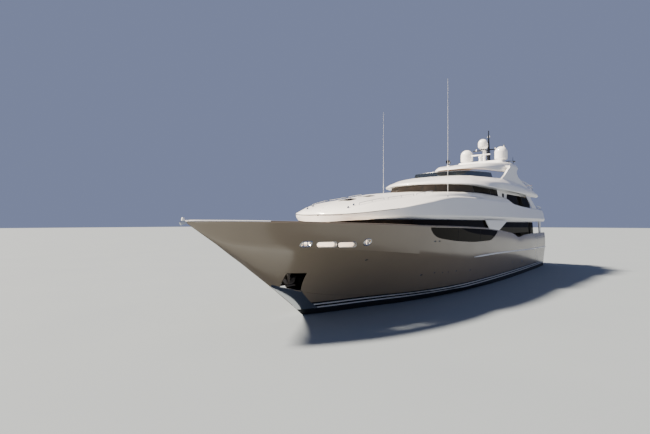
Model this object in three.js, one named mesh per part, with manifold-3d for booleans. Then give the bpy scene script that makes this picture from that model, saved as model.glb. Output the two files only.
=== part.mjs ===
// A tri-deck motor yacht of 39.6 m, in millimetres: +X forward, +Y to port, +Z up.
// The origin is on the centreline at the waterline, midway along the length.
import * as THREE from "three";
import { mergeVertices } from "three/addons/utils/BufferGeometryUtils.js";
import Module from "manifold-3d";

const wasm = await Module();
wasm.setup();

// Driving dimensions
const GAP = 0.3; // between pieces that rest on each other
const RUNNING = 6; // between a moving piece and its neighbours
const BOW_X = 19800;
const TRANSOM_X = -18200;
const PLATFORM_END_X = -19800;
const STEP_X = 9500; // the raised foredeck begins here
const HULL_TOP = 2140;
const MAIN_FLOOR = 2200;
const FORE_HULL_TOP = 3050;
const FORE_FLOOR = 3110;
const FORE_END_X = 17900; // where the stem reaches the foredeck's underside
const SOFFIT_MAIN = 4410; // ceiling of the main deck
const UPPER_FLOOR = 4750;
const SOFFIT_UPPER = 6780;
const SUN_FLOOR = 6950;
const TOPSIDE_THICKNESS = 120;
const WALL = 120;
const GLASS = 30;
const SALOON_AFT_X = -12900;
const SALOON_Y = 3000;
const LOUNGE_FORE_X = -6500;
const LOUNGE_AFT_X = -14000;
const LOUNGE_Y = 2850;
const DOOR_WIDTH = 1200;
const SHAFT = { y: 1500, propX: -15400, propZ: -1450, endX: -9900, tilt: 6, radius: 55, bore: 75 };
const PROPELLER = { radius: 550, hub: 110, blades: 5 };
const RUDDER = { x: -16600, y: 1500, top: -800, bottom: -1950, fore: 320, aft: 580, stock: 60 };
const FIN = { x: 0, y: 2700, z: -483, angle: 51.6, span: 900, chord: 1100, stock: 50, root: 25 };
const GARAGE = { halfWidth: 1750, low: 600, high: 1950, fore: -14500, door: 120 };
const STAIR_STEPS = 7;

// Finishes: colour, roughness and metalness
const finish = (color, roughness, metalness = 0) =>
  new THREE.MeshStandardMaterial({ color, roughness, metalness, side: THREE.FrontSide });
const hullPaint = () => finish(0x9a9186, 0.2);
const whitePaint = () => finish(0xf2f2f0, 0.2);
const darkGlass = () => finish(0x14181c, 0.05);
const teak = () => finish(0xb08a5c, 0.7);
const steel = () => finish(0xc8ccd0, 0.15, 1);
const bronze = () => finish(0xa9824a, 0.35, 1);
const castIron = () => finish(0x5a6068, 0.6, 0.5);
const blackPaint = () => finish(0x22262b, 0.5);

// The hull's sections, each a half section's corners from the keel up to the sheer
const HULL_COLUMNS = [
  "x", "keelZ", "chineY", "chineZ", "flareY", "flareZ", "knuckleY", "knuckleZ", "sheerY", "sheerZ",
];
const HULL = [
  [-18200, -700, 3500, -150, 3640, 900, 3750, 1850, 3700, 3280],
  [-14700, -1050, 3600, -130, 3760, 900, 3860, 1900, 3800, 3280],
  [-10000, -1500, 3650, -100, 3810, 930, 3930, 1970, 3900, 3230],
  [-8000, -1750, 3660, -60, 3820, 960, 3940, 2010, 3915, 3080],
  [-6500, -1870, 3650, -30, 3820, 980, 3945, 2050, 3920, 3370],
  [-4000, -1950, 3620, 0, 3810, 1000, 3950, 2090, 3930, 3620],
  [-2000, -1980, 3570, 50, 3790, 1060, 3950, 2120, 3940, 3780],
  [0, -2000, 3500, 150, 3760, 1150, 3950, 2130, 3960, 3900],
  [2300, -2000, 3400, 260, 3700, 1200, 3930, 2135, 3960, 3970],
  [5000, -1980, 3080, 400, 3480, 1370, 3850, 2380, 3950, 4040],
  [8000, -1850, 2380, 530, 2960, 1550, 3640, 2620, 3850, 4090],
  [10000, -1600, 1680, 640, 2430, 1700, 3380, 2800, 3700, 4130],
  [12000, -1050, 1050, 800, 1850, 1850, 3020, 2980, 3450, 4180],
  [13000, -480, 760, 930, 1520, 1980, 2770, 3060, 3230, 4200],
  [13710, 0, 560, 1060, 1250, 2050, 2560, 3120, 3070, 4215],
  [14400, 540, 370, 1210, 980, 2160, 2330, 3160, 2890, 4230],
  [15000, 990, 200, 1400, 760, 2280, 2100, 3200, 2690, 4245],
  [15810, 1590, 20, 1640, 450, 2440, 1730, 3250, 2420, 4265],
  [16500, 2080, 0, 2080, 240, 2600, 1380, 3290, 2140, 4278],
  [17300, 2650, 0, 2650, 60, 2900, 890, 3350, 1780, 4290],
  [17900, 3050, 0, 3050, 10, 3150, 480, 3430, 1440, 4300],
  [18380, 3390, 0, 3390, 0, 3390, 210, 3560, 1150, 4304],
  [19000, 3790, 0, 3790, 0, 3790, 50, 3830, 740, 4308],
  [19600, 4180, 0, 4180, 0, 4180, 0, 4180, 280, 4310],
  [19800, 4310, 0, 4310, 0, 4310, 0, 4310, 0, 4310],
];

// The long window in each topside
const HULL_WINDOW_COLUMNS = ["x", "low", "high"];
const HULL_WINDOW = [
  [-2200, 3640, 3700],
  [-1500, 3340, 3745],
  [-400, 3090, 3815],
  [1900, 3080, 3895],
  [4500, 3190, 3965],
  [6300, 3340, 4000],
  [7300, 3465, 4015],
  [7900, 3660, 4025],
  [8250, 3940, 4030],
];

// The moulded body of the upper deck: half sections from its underside up to its top. The last
// column is the height on the centreline for the coachroof, and the inner face for the sides
const COACHROOF_COLUMNS = [
  "x", "bottomY", "wideY", "wideZ", "creaseY", "creaseZ", "upperY", "upperZ", "topY", "topZ", "crownZ",
];
const SIDE_BODY_COLUMNS = [...COACHROOF_COLUMNS.slice(0, -1), "innerY"];
const BODY_JOINT_X = 0;
const COACHROOF = [
  [12600, 0, 0, 4600, 0, 4660, 0, 4665, 0, 4670, 4670],
  [12570, 240, 360, 4590, 400, 4660, 300, 4690, 0, 4740, 4740],
  [12450, 900, 1030, 4580, 1060, 4670, 800, 4760, 0, 4850, 4850],
  [12150, 1650, 1790, 4570, 1820, 4710, 1350, 4870, 0, 5000, 5000],
  [11700, 2150, 2300, 4560, 2310, 4770, 1700, 5000, 0, 5160, 5160],
  [11000, 2560, 2720, 4570, 2700, 4860, 1950, 5170, 0, 5330, 5330],
  [10000, 2950, 3120, 4590, 3090, 4980, 2200, 5350, 0, 5530, 5530],
  [9000, 3250, 3410, 4610, 3350, 5140, 2450, 5480, 0, 5690, 5690],
  [8000, 3460, 3600, 4630, 3490, 5290, 2650, 5610, 0, 5820, 5820],
  [7000, 3590, 3710, 4640, 3560, 5430, 2850, 5740, 600, 5940, 5955],
  [6100, 3660, 3780, 4650, 3590, 5550, 2960, 5860, 1500, 6040, 6075],
  [5000, 3700, 3830, 4650, 3600, 5650, 3050, 5980, 2500, 6070, 6160],
  [4000, 3720, 3860, 4650, 3610, 5720, 3130, 6020, 2850, 6130, 6250],
  [2500, 3740, 3890, 4650, 3625, 5775, 3190, 6090, 3000, 6200, 6350],
  [BODY_JOINT_X, 3750, 3920, 4650, 3650, 5810, 3280, 6190, 3100, 6300, 6400],
];
const SIDE_BODY = [
  [BODY_JOINT_X, 3750, 3920, 4650, 3650, 5810, 3280, 6190, 3100, 6300, 2800],
  [-1500, 3750, 3930, 4650, 3670, 5820, 3320, 6210, 3150, 6320, 2850],
  [-5000, 3750, 3930, 4650, 3680, 5820, 3400, 6170, 3200, 6280, 2900],
  [-6400, 3740, 3920, 4650, 3670, 5810, 3440, 6120, 3230, 6240, 2950],
  [-7400, 3730, 3910, 4640, 3680, 5750, 3600, 5805, 3530, 5820, 3400],
  [-12500, 3700, 3870, 4630, 3650, 5540, 3590, 5600, 3520, 5620, 3400],
  [-18000, 3600, 3760, 4600, 3560, 5430, 3500, 5485, 3430, 5500, 3310],
  [-18400, 3560, 3640, 4580, 3480, 5300, 3450, 5360, 3400, 5380, 3310],
];

// The sundeck: its lip, the outer foot and the top of its coaming, and the floor
const SUNDECK_STEP = { fore: -1440, aft: -1460 };
const SUNDECK_COLUMNS = ["x", "lipY", "lipZ", "topY", "topZ", "floorZ"];
const SUNDECK = [
  [3150, 0, 6780, 0, 6840, 6840],
  [3080, 750, 6780, 400, 6910, 6930],
  [2840, 1540, 6780, 900, 6970, 7000],
  [2500, 1990, 6780, 1250, 7040, 7090],
  [2100, 2400, 6780, 1550, 7110, 7180],
  [1640, 2800, 6780, 1800, 7200, 7290],
  [1140, 3120, 6780, 1950, 7300, 7400],
  [270, 3420, 6780, 2050, 7450, 7550],
  [-450, 3500, 6780, 2050, 7570, 7620],
  [SUNDECK_STEP.fore, 3550, 6780, 2250, 7640, 7650],
  [SUNDECK_STEP.aft, 3551, 6780, 2252, 7640, 6950],
  [-2500, 3570, 6780, 2550, 7670, 6950],
  [-3600, 3580, 6780, 2840, 7690, 6950],
  [-5000, 3585, 6780, 3060, 7720, 6950],
  [-7200, 3570, 6780, 3070, 7790, 6950],
  [-10000, 3520, 6780, 3080, 7720, 6950],
  [-14500, 3420, 6740, 3060, 7520, 6950],
  [-16200, 3380, 6700, 3080, 7300, 6950],
  [-16500, 3360, 6710, 3120, 7000, 6900],
];

// The hardtop: a turned-down edge under a crowned top
const HARDTOP_COLUMNS = ["x", "edgeY", "edgeZ", "shoulderZ", "crownZ", "soffitZ"];
const HARDTOP = [
  [-3400, 0, 8450, 8460, 8470, 8440],
  [-3520, 620, 8450, 8520, 8560, 8460],
  [-3950, 1250, 8450, 8680, 8740, 8560],
  [-4650, 1800, 8450, 8850, 8920, 8730],
  [-5500, 2230, 8450, 9000, 9060, 8890],
  [-7000, 2540, 8460, 9220, 9290, 9100],
  [-8500, 2700, 8520, 9400, 9490, 9270],
  [-10000, 2760, 8700, 9560, 9680, 9420],
  [-11500, 2740, 8900, 9680, 9800, 9540],
  [-12700, 2600, 9150, 9700, 9820, 9540],
];

// A row of a table as an object with the column names
const named = (columns, row) => Object.fromEntries(columns.map((name, i) => [name, row[i]]));

// The row at x of a table whose x rises, or falls, from row to row
function rowAt(columns, table, x) {
  const rising = table[1][0] > table[0][0];
  const rows = rising ? table : [...table].reverse();
  const last = rows.length - 1;
  if (x <= rows[0][0]) return named(columns, rows[0]);
  if (x >= rows[last][0]) return named(columns, rows[last]);
  const i = rows.findIndex((row, k) => k < last && x >= row[0] && x <= rows[k + 1][0]);
  const t = (x - rows[i][0]) / (rows[i + 1][0] - rows[i][0]);
  return named(columns, rows[i].map((v, k) => v + t * (rows[i + 1][k] - v)));
}

// A closed solid from rings of points; equal neighbours collapse and its faces point out
function solidOfTriangles(points, triangles) {
  const geometry = new THREE.BufferGeometry();
  geometry.setAttribute("position", new THREE.Float32BufferAttribute(points.flat(), 3));
  geometry.setIndex(triangles.flat());
  const merged = mergeVertices(geometry, 1e-2);
  const index = [];
  for (let i = 0; i < merged.index.count; i += 3) {
    const [a, b, c] = [0, 1, 2].map((k) => merged.index.getX(i + k));
    if (a !== b && b !== c && c !== a) index.push(a, b, c);
  }
  merged.setIndex(index);
  return turnedOut(merged);
}

function turnedOut(geometry) {
  const p = geometry.attributes.position;
  const index = geometry.index.array;
  const at = (i) => new THREE.Vector3().fromBufferAttribute(p, index[i]);
  let volume = 0;
  for (let i = 0; i < index.length; i += 3) volume += at(i).dot(at(i + 1).cross(at(i + 2)));
  if (volume < 0) {
    for (let i = 0; i < index.length; i += 3) {
      [index[i + 1], index[i + 2]] = [index[i + 2], index[i + 1]];
    }
  }
  return geometry;
}

const doubledArea = (points) => {
  const total = new THREE.Vector3();
  points.forEach((q, i) => {
    total.add(new THREE.Vector3(...q).cross(new THREE.Vector3(...points[(i + 1) % points.length])));
  });
  return total;
};

// The triangles of a cap over one ring, wound with the ring or against it; a ring of no area has none
function capTriangles(ring, withRing) {
  const normal = doubledArea(ring);
  const parts = normal.toArray().map(Math.abs);
  if (Math.max(...parts) < 1) return [];
  const drop = parts.indexOf(Math.max(...parts));
  const flat = ring.map((q) => new THREE.Vector2(...q.filter((_, k) => k !== drop)));
  const faces = THREE.ShapeUtils.triangulateShape(flat, []);
  const total = new THREE.Vector3();
  faces.forEach((face) => total.add(doubledArea(face.map((i) => ring[i]))));
  return total.dot(normal) > 0 === withRing ? faces : faces.map(([a, b, c]) => [a, c, b]);
}

// A solid through rings of as many points each; a twisted face folds on its shorter diagonal
function loft(rings) {
  const count = rings[0].length;
  const points = rings.flat();
  const distance = (i, j) => Math.hypot(...points[i].map((v, k) => v - points[j][k]));
  const triangles = [];
  for (let r = 0; r + 1 < rings.length; r++) {
    for (let k = 0; k < count; k++) {
      const [a, b] = [r * count + k, r * count + ((k + 1) % count)];
      const [c, d] = [a + count, b + count];
      if (distance(b, c) <= distance(a, d)) triangles.push([a, b, c], [b, d, c]);
      else triangles.push([a, b, d], [a, d, c]);
    }
  }
  [0, rings.length - 1].forEach((at) => {
    const start = at * count;
    capTriangles(rings[at], at > 0).forEach((face) => triangles.push(face.map((i) => i + start)));
  });
  return solidOfTriangles(points, triangles);
}

const mirrorRing = (ring) => ring.map(([x, y, z]) => [x, -y, z]);
const mirroredY = (geometry) => {
  const copy = geometry.clone().scale(1, -1, 1);
  const index = copy.index.array;
  for (let i = 0; i < index.length; i += 3) [index[i + 1], index[i + 2]] = [index[i + 2], index[i + 1]];
  return copy;
};

function plain(geometry) {
  const bare = new THREE.BufferGeometry();
  bare.setAttribute("position", geometry.getAttribute("position").clone());
  if (geometry.index) bare.setIndex(geometry.index.clone());
  return mergeVertices(bare, 1e-3);
}

function manifoldOf(geometry) {
  const bare = plain(geometry);
  const mesh = new wasm.Mesh({
    numProp: 3,
    vertProperties: new Float32Array(bare.attributes.position.array),
    triVerts: new Uint32Array(bare.index.array),
  });
  return new wasm.Manifold(mesh);
}

function geometryOf(manifold) {
  const { numProp, vertProperties, triVerts } = manifold.getMesh();
  const position = new Float32Array((vertProperties.length / numProp) * 3);
  for (let i = 0; i < position.length / 3; i++) {
    position.set(vertProperties.subarray(i * numProp, i * numProp + 3), i * 3);
  }
  const geometry = new THREE.BufferGeometry();
  geometry.setAttribute("position", new THREE.BufferAttribute(position, 3));
  geometry.setIndex(new THREE.BufferAttribute(triVerts, 1));
  return geometry;
}

const join = (...geometries) => geometryOf(geometries.map(manifoldOf).reduce((a, b) => a.add(b)));
const cut = (body, ...tools) =>
  geometryOf(tools.map(manifoldOf).reduce((a, b) => a.subtract(b), manifoldOf(body)));

function box(x0, x1, y0, y1, z0, z1) {
  const geometry = new THREE.BoxGeometry(Math.abs(x1 - x0), Math.abs(y1 - y0), Math.abs(z1 - z0));
  return plain(geometry.translate((x0 + x1) / 2, (y0 + y1) / 2, (z0 + z1) / 2));
}

// An outline of [x, z] points carried across from y0 to y1
function acrossY(outline, y0, y1) {
  return loft([y0, y1].map((y) => outline.map(([x, z]) => [x, y, z])));
}

// An outline of [x, y] points carried up from z0 to z1
function upZ(outline, z0, z1) {
  return loft([z0, z1].map((z) => outline.map(([x, y]) => [x, y, z])));
}

function rod(from, to, radius, sides = 10, endRadius = radius) {
  const a = new THREE.Vector3(...from);
  const b = new THREE.Vector3(...to);
  const geometry = plain(new THREE.CylinderGeometry(endRadius, radius, a.distanceTo(b), sides));
  const along = b.clone().sub(a).normalize();
  const turn = new THREE.Quaternion().setFromUnitVectors(new THREE.Vector3(0, 1, 0), along);
  return geometry.applyQuaternion(turn).translate(...a.add(b).multiplyScalar(0.5).toArray());
}

// The space round a turning rod: its flats lie one gap outside the rod's corners
const BEARING_SIDES = 24;
const bearing = (from, to, radius) =>
  rod(from, to, (radius + GAP) / Math.cos(Math.PI / BEARING_SIDES), BEARING_SIDES);

// Hinge barrels along Y: the leaf's barrels turn between the frame's, end to end
const BARREL = { radius: 22, length: 100 };
function hingeAt(x, z, places) {
  const tube = (from, to, radius) => rod([x, from, z], [x, to, z], radius, 16);
  const reach = BARREL.length / 2;
  const beside = (y, side, more) =>
    [y + side * (reach + GAP - more), y + side * (reach + BARREL.length + more)];
  const sides = places.flatMap((y) => [[y, 1], [y, -1]]);
  return {
    leaf: places.map((y) => tube(y - reach, y + reach, BARREL.radius)),
    leafRoom: places.map((y) => tube(y - reach - GAP, y + reach + GAP, BARREL.radius + RUNNING)),
    frame: sides.map(([y, side]) => tube(...beside(y, side, 0), BARREL.radius)),
    frameRoom: sides.map(([y, side]) => tube(...beside(y, side, GAP), BARREL.radius + RUNNING)),
  };
}

// A wall that follows a plan path: each row is [x, y, low z, high z, lean], its outer face on the path
function wallAlong(rows, thickness) {
  const rings = rows.map(([x, y, low, high, lean = 0], i) => {
    const before = rows[Math.max(0, i - 1)];
    const after = rows[Math.min(rows.length - 1, i + 1)];
    const run = new THREE.Vector2(after[0] - before[0], after[1] - before[1]).normalize();
    const inward = [run.y * -1, run.x];
    const side = inward[0] * x + inward[1] * y > 0 && Math.abs(y) > 1 ? -1 : 1;
    const [nx, ny] = inward.map((v) => v * side);
    const offset = (d, z) => [x + nx * d, y + ny * d, z];
    return [offset(0, low), offset(lean, high), offset(lean + thickness, high), offset(thickness, low)];
  });
  return loft(rings);
}

const group = new THREE.Group();
function addPiece(name, geometry, material) {
  const mesh = new THREE.Mesh(geometry, material);
  mesh.name = name;
  group.add(mesh);
  return mesh;
}
function addPair(name, geometry, material) {
  addPiece(name + "_port", geometry, material());
  addPiece(name + "_starboard", mirroredY(geometry), material());
}

// Hull: half section below a level, always the same number of corners
const hullCorners = (x) => {
  const s = rowAt(HULL_COLUMNS, HULL, x);
  return [
    [0, s.keelZ],
    [0.55 * s.chineY, s.keelZ + 0.42 * (s.chineZ - s.keelZ)],
    [s.chineY, s.chineZ],
    [s.flareY, s.flareZ],
    [s.knuckleY, s.knuckleZ],
    [s.sheerY, s.sheerZ],
  ];
};
function hullY(x, z) {
  const corners = hullCorners(x);
  for (let i = 0; i + 1 < corners.length; i++) {
    const [[y0, z0], [y1, z1]] = [corners[i], corners[i + 1]];
    if (z <= z1 + 1e-6 && z1 > z0) return y0 + ((y1 - y0) * Math.max(0, z - z0)) / (z1 - z0);
  }
  return corners.at(-1)[0];
}
const cornersBelow = (x, top) => hullCorners(x).map(([y, z]) => (z > top ? [hullY(x, top), top] : [y, z]));

const stationsBetween = (x0, x1) => [
  x0,
  ...HULL.map((row) => row[0]).filter((x) => x > x0 + 1 && x < x1 - 1),
  x1,
];

function hullRing(x, top) {
  const side = cornersBelow(x, top).reverse();
  const ring = [[0, top], ...side, ...side.slice(0, -1).reverse().map(([y, z]) => [-y, z])];
  return ring.map(([y, z]) => [x, y, z]);
}

const hullBlank = loft([
  ...stationsBetween(TRANSOM_X, STEP_X).map((x) => hullRing(x, HULL_TOP)),
  ...stationsBetween(STEP_X + 1, FORE_END_X).map((x) => hullRing(x, FORE_HULL_TOP)),
]);

const ENGINE_ROOM = { aft: -12000, fore: -4000, halfWidth: 2600, floor: -300 };
const engineRoom = box(
  ENGINE_ROOM.aft, ENGINE_ROOM.fore, -ENGINE_ROOM.halfWidth, ENGINE_ROOM.halfWidth,
  ENGINE_ROOM.floor, HULL_TOP + 100,
);
const garage = box(
  TRANSOM_X - 100, GARAGE.fore, -GARAGE.halfWidth, GARAGE.halfWidth, GARAGE.low, GARAGE.high,
);

// The stairs from the bathing platform to the aft deck are cut into the stern's corners
const STERN_STAIR = { inner: 2600, outer: 3350, run: 260 };
const stairRise = (HULL_TOP - GARAGE.low) / STAIR_STEPS;
const sternSteps = [1, -1].flatMap((side) =>
  Array.from({ length: STAIR_STEPS }, (_, i) =>
    box(
      TRANSOM_X - 100, TRANSOM_X + STERN_STAIR.run * (i + 1),
      side * STERN_STAIR.inner, side * STERN_STAIR.outer,
      GARAGE.low + stairRise * i, HULL_TOP + 100,
    ),
  ),
);

// Anchor pockets on both bows, a pentagon's four corners in side view
const POCKET_INNER_Y = 90;
const pocketOutline = [[15200, 2100], [14380, 2060], [14300, 1230], [15280, 1500]];
const pockets = [1, -1].map((side) => acrossY(pocketOutline, side * POCKET_INNER_Y, side * 1500));

const tilt = Math.tan(THREE.MathUtils.degToRad(SHAFT.tilt));
const shaftPoint = (x, side) => [x, side * SHAFT.y, SHAFT.propZ + (x - SHAFT.propX) * tilt];
const shaftBores = [1, -1].map((side) =>
  rod(shaftPoint(-13500, side), shaftPoint(SHAFT.endX + 200, side), SHAFT.bore, 12),
);
const STOCK_TOP = 200;
const rudderBores = [1, -1].map((side) =>
  bearing([RUDDER.x, side * RUDDER.y, -1500], [RUDDER.x, side * RUDDER.y, STOCK_TOP + 50], RUDDER.stock),
);

// The fins' stocks stand square on the bilge
const finTurn = THREE.MathUtils.degToRad(FIN.angle);
const finOut = [0, Math.cos(finTurn), -Math.sin(finTurn)];
const finPoint = (distance, side = 1) => [
  FIN.x, side * (FIN.y + finOut[1] * distance), FIN.z + finOut[2] * distance,
];
const FIN_STOCK_DEPTH = 400;
const finBores = [1, -1].map((side) =>
  bearing(finPoint(-FIN_STOCK_DEPTH - 50, side), finPoint(200, side), FIN.stock),
);

// The garage door's hinge lies in the transom's face, along the door's upper edge
const garageHinge = hingeAt(TRANSOM_X, GARAGE.high - RUNNING, [-1200, 0, 1200]);
addPiece(
  "hull",
  join(
    cut(
      hullBlank, engineRoom, garage, ...sternSteps, ...pockets, ...shaftBores, ...rudderBores, ...finBores,
      ...garageHinge.leafRoom,
    ),
    ...garageHinge.frame,
  ),
  hullPaint(),
);

// Topsides: the hull's upper sides, which stand up round the decks as bulwarks
function topside(thickness) {
  const ring = (x, base) => {
    const corners = hullCorners(x);
    const low = Math.max(base, corners[0][1]);
    const outer = (z) => Math.max(GAP, hullY(x, z));
    const knuckleZ = Math.max(low, corners[4][1]);
    const levels = [low, knuckleZ, Math.max(knuckleZ, corners[5][1])];
    return [
      ...levels.map((z) => [x, outer(z), z]),
      ...[...levels].reverse().map((z) => [x, Math.max(GAP, outer(z) - thickness), z]),
    ];
  };
  return loft([
    ...stationsBetween(TRANSOM_X, STEP_X).map((x) => ring(x, HULL_TOP + GAP)),
    ...stationsBetween(STEP_X + 1, BOW_X).map((x) => ring(x, FORE_HULL_TOP + GAP)),
  ]);
}

function windowPanel(inset, outerY, innerY) {
  return loft(
    HULL_WINDOW.map((row) => {
      const { x, low, high } = named(HULL_WINDOW_COLUMNS, row);
      const [a, b] = [low + inset, high - inset];
      return [
        [x, outerY(x, a), a], [x, outerY(x, b), b], [x, innerY(x, b), b], [x, innerY(x, a), a],
      ];
    }),
  );
}
const hullWindowCut = windowPanel(0, () => 4300, () => 3000);
addPair("topside", cut(topside(TOPSIDE_THICKNESS), hullWindowCut), hullPaint);
const WINDOW_SET_BACK = 20;
addPair(
  "hull_window",
  windowPanel(GAP, (x, z) => hullY(x, z) - WINDOW_SET_BACK, (x, z) => hullY(x, z) - WINDOW_SET_BACK - GLASS),
  darkGlass,
);

// Decks: plates that fill the space between the topsides
const deckEdge = (low, high) => (x) => Math.min(hullY(x, low), hullY(x, high)) - TOPSIDE_THICKNESS - 1;
function deckPlate(x0, x1, low, high, side = deckEdge(low, high)) {
  return loft(
    stationsBetween(x0, x1).map((x) => {
      const y = Math.max(1, side(x));
      return [[x, y, low], [x, y, high], [x, -y, high], [x, -y, low]];
    }),
  );
}
const sternStairWells = [1, -1].map((side) =>
  box(TRANSOM_X - 100, TRANSOM_X + STERN_STAIR.run * STAIR_STEPS, side * STERN_STAIR.inner,
    side * STERN_STAIR.outer, HULL_TOP - 100, MAIN_FLOOR + 100),
);
addPiece(
  "main_deck",
  cut(deckPlate(TRANSOM_X, STEP_X - GAP, HULL_TOP + GAP, MAIN_FLOOR), ...sternStairWells),
  teak(),
);
const HATCH = { x: 14300, half: 450, rim: 60, height: 120 };
const COAMING_TOP = FORE_FLOOR + HATCH.height;
const LID = { reach: HATCH.half + 30, low: COAMING_TOP + RUNNING, high: COAMING_TOP + RUNNING + HATCH.rim };
const hatchHinge = hingeAt(HATCH.x + LID.reach, LID.low, [-250, 250]);
const hingeFeet = [-250, 250].flatMap((y) => [-1, 1].map((side) => {
  const near = y + side * (BARREL.length / 2 + GAP);
  const far = near + side * BARREL.length;
  return box(HATCH.x + HATCH.half - 10, HATCH.x + LID.reach + 15, near, far, FORE_FLOOR - 20, LID.low - 5);
}));
addPiece(
  "foredeck",
  join(
    deckPlate(STEP_X + GAP, 17600, FORE_HULL_TOP + GAP, FORE_FLOOR),
    box(HATCH.x - HATCH.half, HATCH.x + HATCH.half, -HATCH.half, HATCH.half, FORE_FLOOR - 20, COAMING_TOP),
    ...hatchHinge.frame, ...hingeFeet,
  ),
  teak(),
);
addPiece(
  "foredeck_hatch",
  join(
    cut(
      box(HATCH.x - LID.reach, HATCH.x + LID.reach, -LID.reach, LID.reach, LID.low, LID.high),
      ...hatchHinge.frameRoom,
    ),
    ...hatchHinge.leaf,
  ),
  whitePaint(),
);

// Bathing platform and the garage door in the transom
const PLATFORM = { low: 420, high: 590, halfWidth: 3430, corner: 500 };
addPiece(
  "swim_platform",
  upZ(
    [
      [TRANSOM_X - GAP, -PLATFORM.halfWidth], [TRANSOM_X - GAP, PLATFORM.halfWidth],
      [PLATFORM_END_X + PLATFORM.corner, PLATFORM.halfWidth],
      [PLATFORM_END_X, PLATFORM.halfWidth - 2 * PLATFORM.corner],
      [PLATFORM_END_X, -PLATFORM.halfWidth + 2 * PLATFORM.corner],
      [PLATFORM_END_X + PLATFORM.corner, -PLATFORM.halfWidth],
    ],
    PLATFORM.low, PLATFORM.high,
  ),
  teak(),
);
const GARAGE_SILL_GAP = 2 * RUNNING; // the door's inner lower edge dips as it swings out
addPiece(
  "garage_door",
  join(
    cut(
      box(TRANSOM_X, TRANSOM_X + GARAGE.door, -GARAGE.halfWidth + RUNNING, GARAGE.halfWidth - RUNNING,
        GARAGE.low + GARAGE_SILL_GAP, GARAGE.high - RUNNING),
      ...garageHinge.frameRoom,
    ),
    ...garageHinge.leaf,
  ),
  hullPaint(),
);

// Engines: each a plain block in its real place
[["port", 1], ["starboard", -1]].forEach(([name, side]) => {
  addPiece(
    "engine_" + name,
    box(-9700, -7000, side * 750, side * 1950, ENGINE_ROOM.floor + GAP, 1200),
    castIron(),
  );
});

// Propellers with their shafts, which turn about the shaft's line
function propeller(side) {
  const start = shaftPoint(SHAFT.propX, side);
  const shaft = rod(
    shaftPoint(SHAFT.propX - 200, side), shaftPoint(SHAFT.endX, side), SHAFT.radius, BEARING_SIDES,
  );
  const hub = rod(
    shaftPoint(SHAFT.propX - 260, side), shaftPoint(SHAFT.propX + 150, side), 70, 14, PROPELLER.hub,
  );
  const blade = loft(
    [
      { r: PROPELLER.hub - 40, chord: 200, pitch: 60, thick: 40 },
      { r: 300, chord: 380, pitch: 40, thick: 22 },
      { r: 450, chord: 400, pitch: 30, thick: 14 },
      { r: PROPELLER.radius, chord: 200, pitch: 25, thick: 8 },
    ].map(({ r, chord, pitch, thick }) => {
      const angle = THREE.MathUtils.degToRad(pitch) * side;
      const [c, s] = [Math.cos(angle), Math.sin(angle)];
      return [[-1, 0], [0, 1], [1, 0], [0, -1]].map(([u, v]) => {
        const [a, b] = [(u * chord) / 2, (v * thick) / 2];
        return [a * s + b * c, a * c - b * s, r];
      });
    }),
  );
  const blades = Array.from({ length: PROPELLER.blades }, (_, i) =>
    blade
      .clone()
      .rotateX((2 * Math.PI * i) / PROPELLER.blades)
      .rotateY(THREE.MathUtils.degToRad(-SHAFT.tilt))
      .translate(...start),
  );
  return join(shaft, hub, ...blades);
}
addPiece("propeller_port", propeller(1), bronze());
addPiece("propeller_starboard", propeller(-1), bronze());

// Brackets that carry the shafts just ahead of the propellers
const BRACKET = { x: -14800, half: 200, outer: 120 };
const bracket = cut(
  join(
    rod(shaftPoint(BRACKET.x - BRACKET.half, 1), shaftPoint(BRACKET.x + BRACKET.half, 1), BRACKET.outer, 16),
    loft([-1400, -500].map((z) =>
      [[-160, 0], [0, 28], [160, 0], [0, -28]].map(([dx, dy]) => [BRACKET.x + dx, SHAFT.y + dy, z]),
    )),
  ),
  bearing(shaftPoint(BRACKET.x - 400, 1), shaftPoint(BRACKET.x + 400, 1), SHAFT.radius),
  hullBlank.clone().translate(0, 0, -2 * GAP),
);
addPair("shaft_bracket", bracket, bronze);

// Rudders: a blade on a stock that passes up into the hull
const rudderOutline = (z, shrink) =>
  [[RUDDER.fore, 0], [0.3 * RUDDER.fore, 65], [-0.3 * RUDDER.aft, 55], [-RUDDER.aft, 6],
    [-RUDDER.aft, -6], [-0.3 * RUDDER.aft, -55], [0.3 * RUDDER.fore, -65]].map(([dx, dy]) =>
    [RUDDER.x + dx * shrink, RUDDER.y + dy * shrink, z]);
addPair(
  "rudder",
  join(
    loft([rudderOutline(RUDDER.bottom, 0.85), rudderOutline(RUDDER.top, 1)]),
    rod([RUDDER.x, RUDDER.y, RUDDER.top - 100], [RUDDER.x, RUDDER.y, STOCK_TOP], RUDDER.stock,
      BEARING_SIDES),
  ),
  bronze,
);

// Stabiliser fins
const FIN_OUTLINE = [
  // along and across the chord, as parts of it
  [0.45, 0], [0.2, 0.06], [-0.25, 0.045], [-0.55, 0.004], [-0.55, -0.004], [-0.25, -0.045], [0.2, -0.06],
];
const finSection = (distance, chord) =>
  FIN_OUTLINE.map(([u, v]) => {
    const [x, y, z] = finPoint(distance);
    return [x + u * chord, y + v * chord * Math.sin(finTurn), z + v * chord * Math.cos(finTurn)];
  });
addPair(
  "stabiliser_fin",
  join(
    loft([finSection(FIN.root, FIN.chord), finSection(FIN.span, 0.75 * FIN.chord)]),
    rod(finPoint(-FIN_STOCK_DEPTH), finPoint(FIN.root + 60), FIN.stock, BEARING_SIDES),
  ),
  whitePaint,
);

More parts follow.
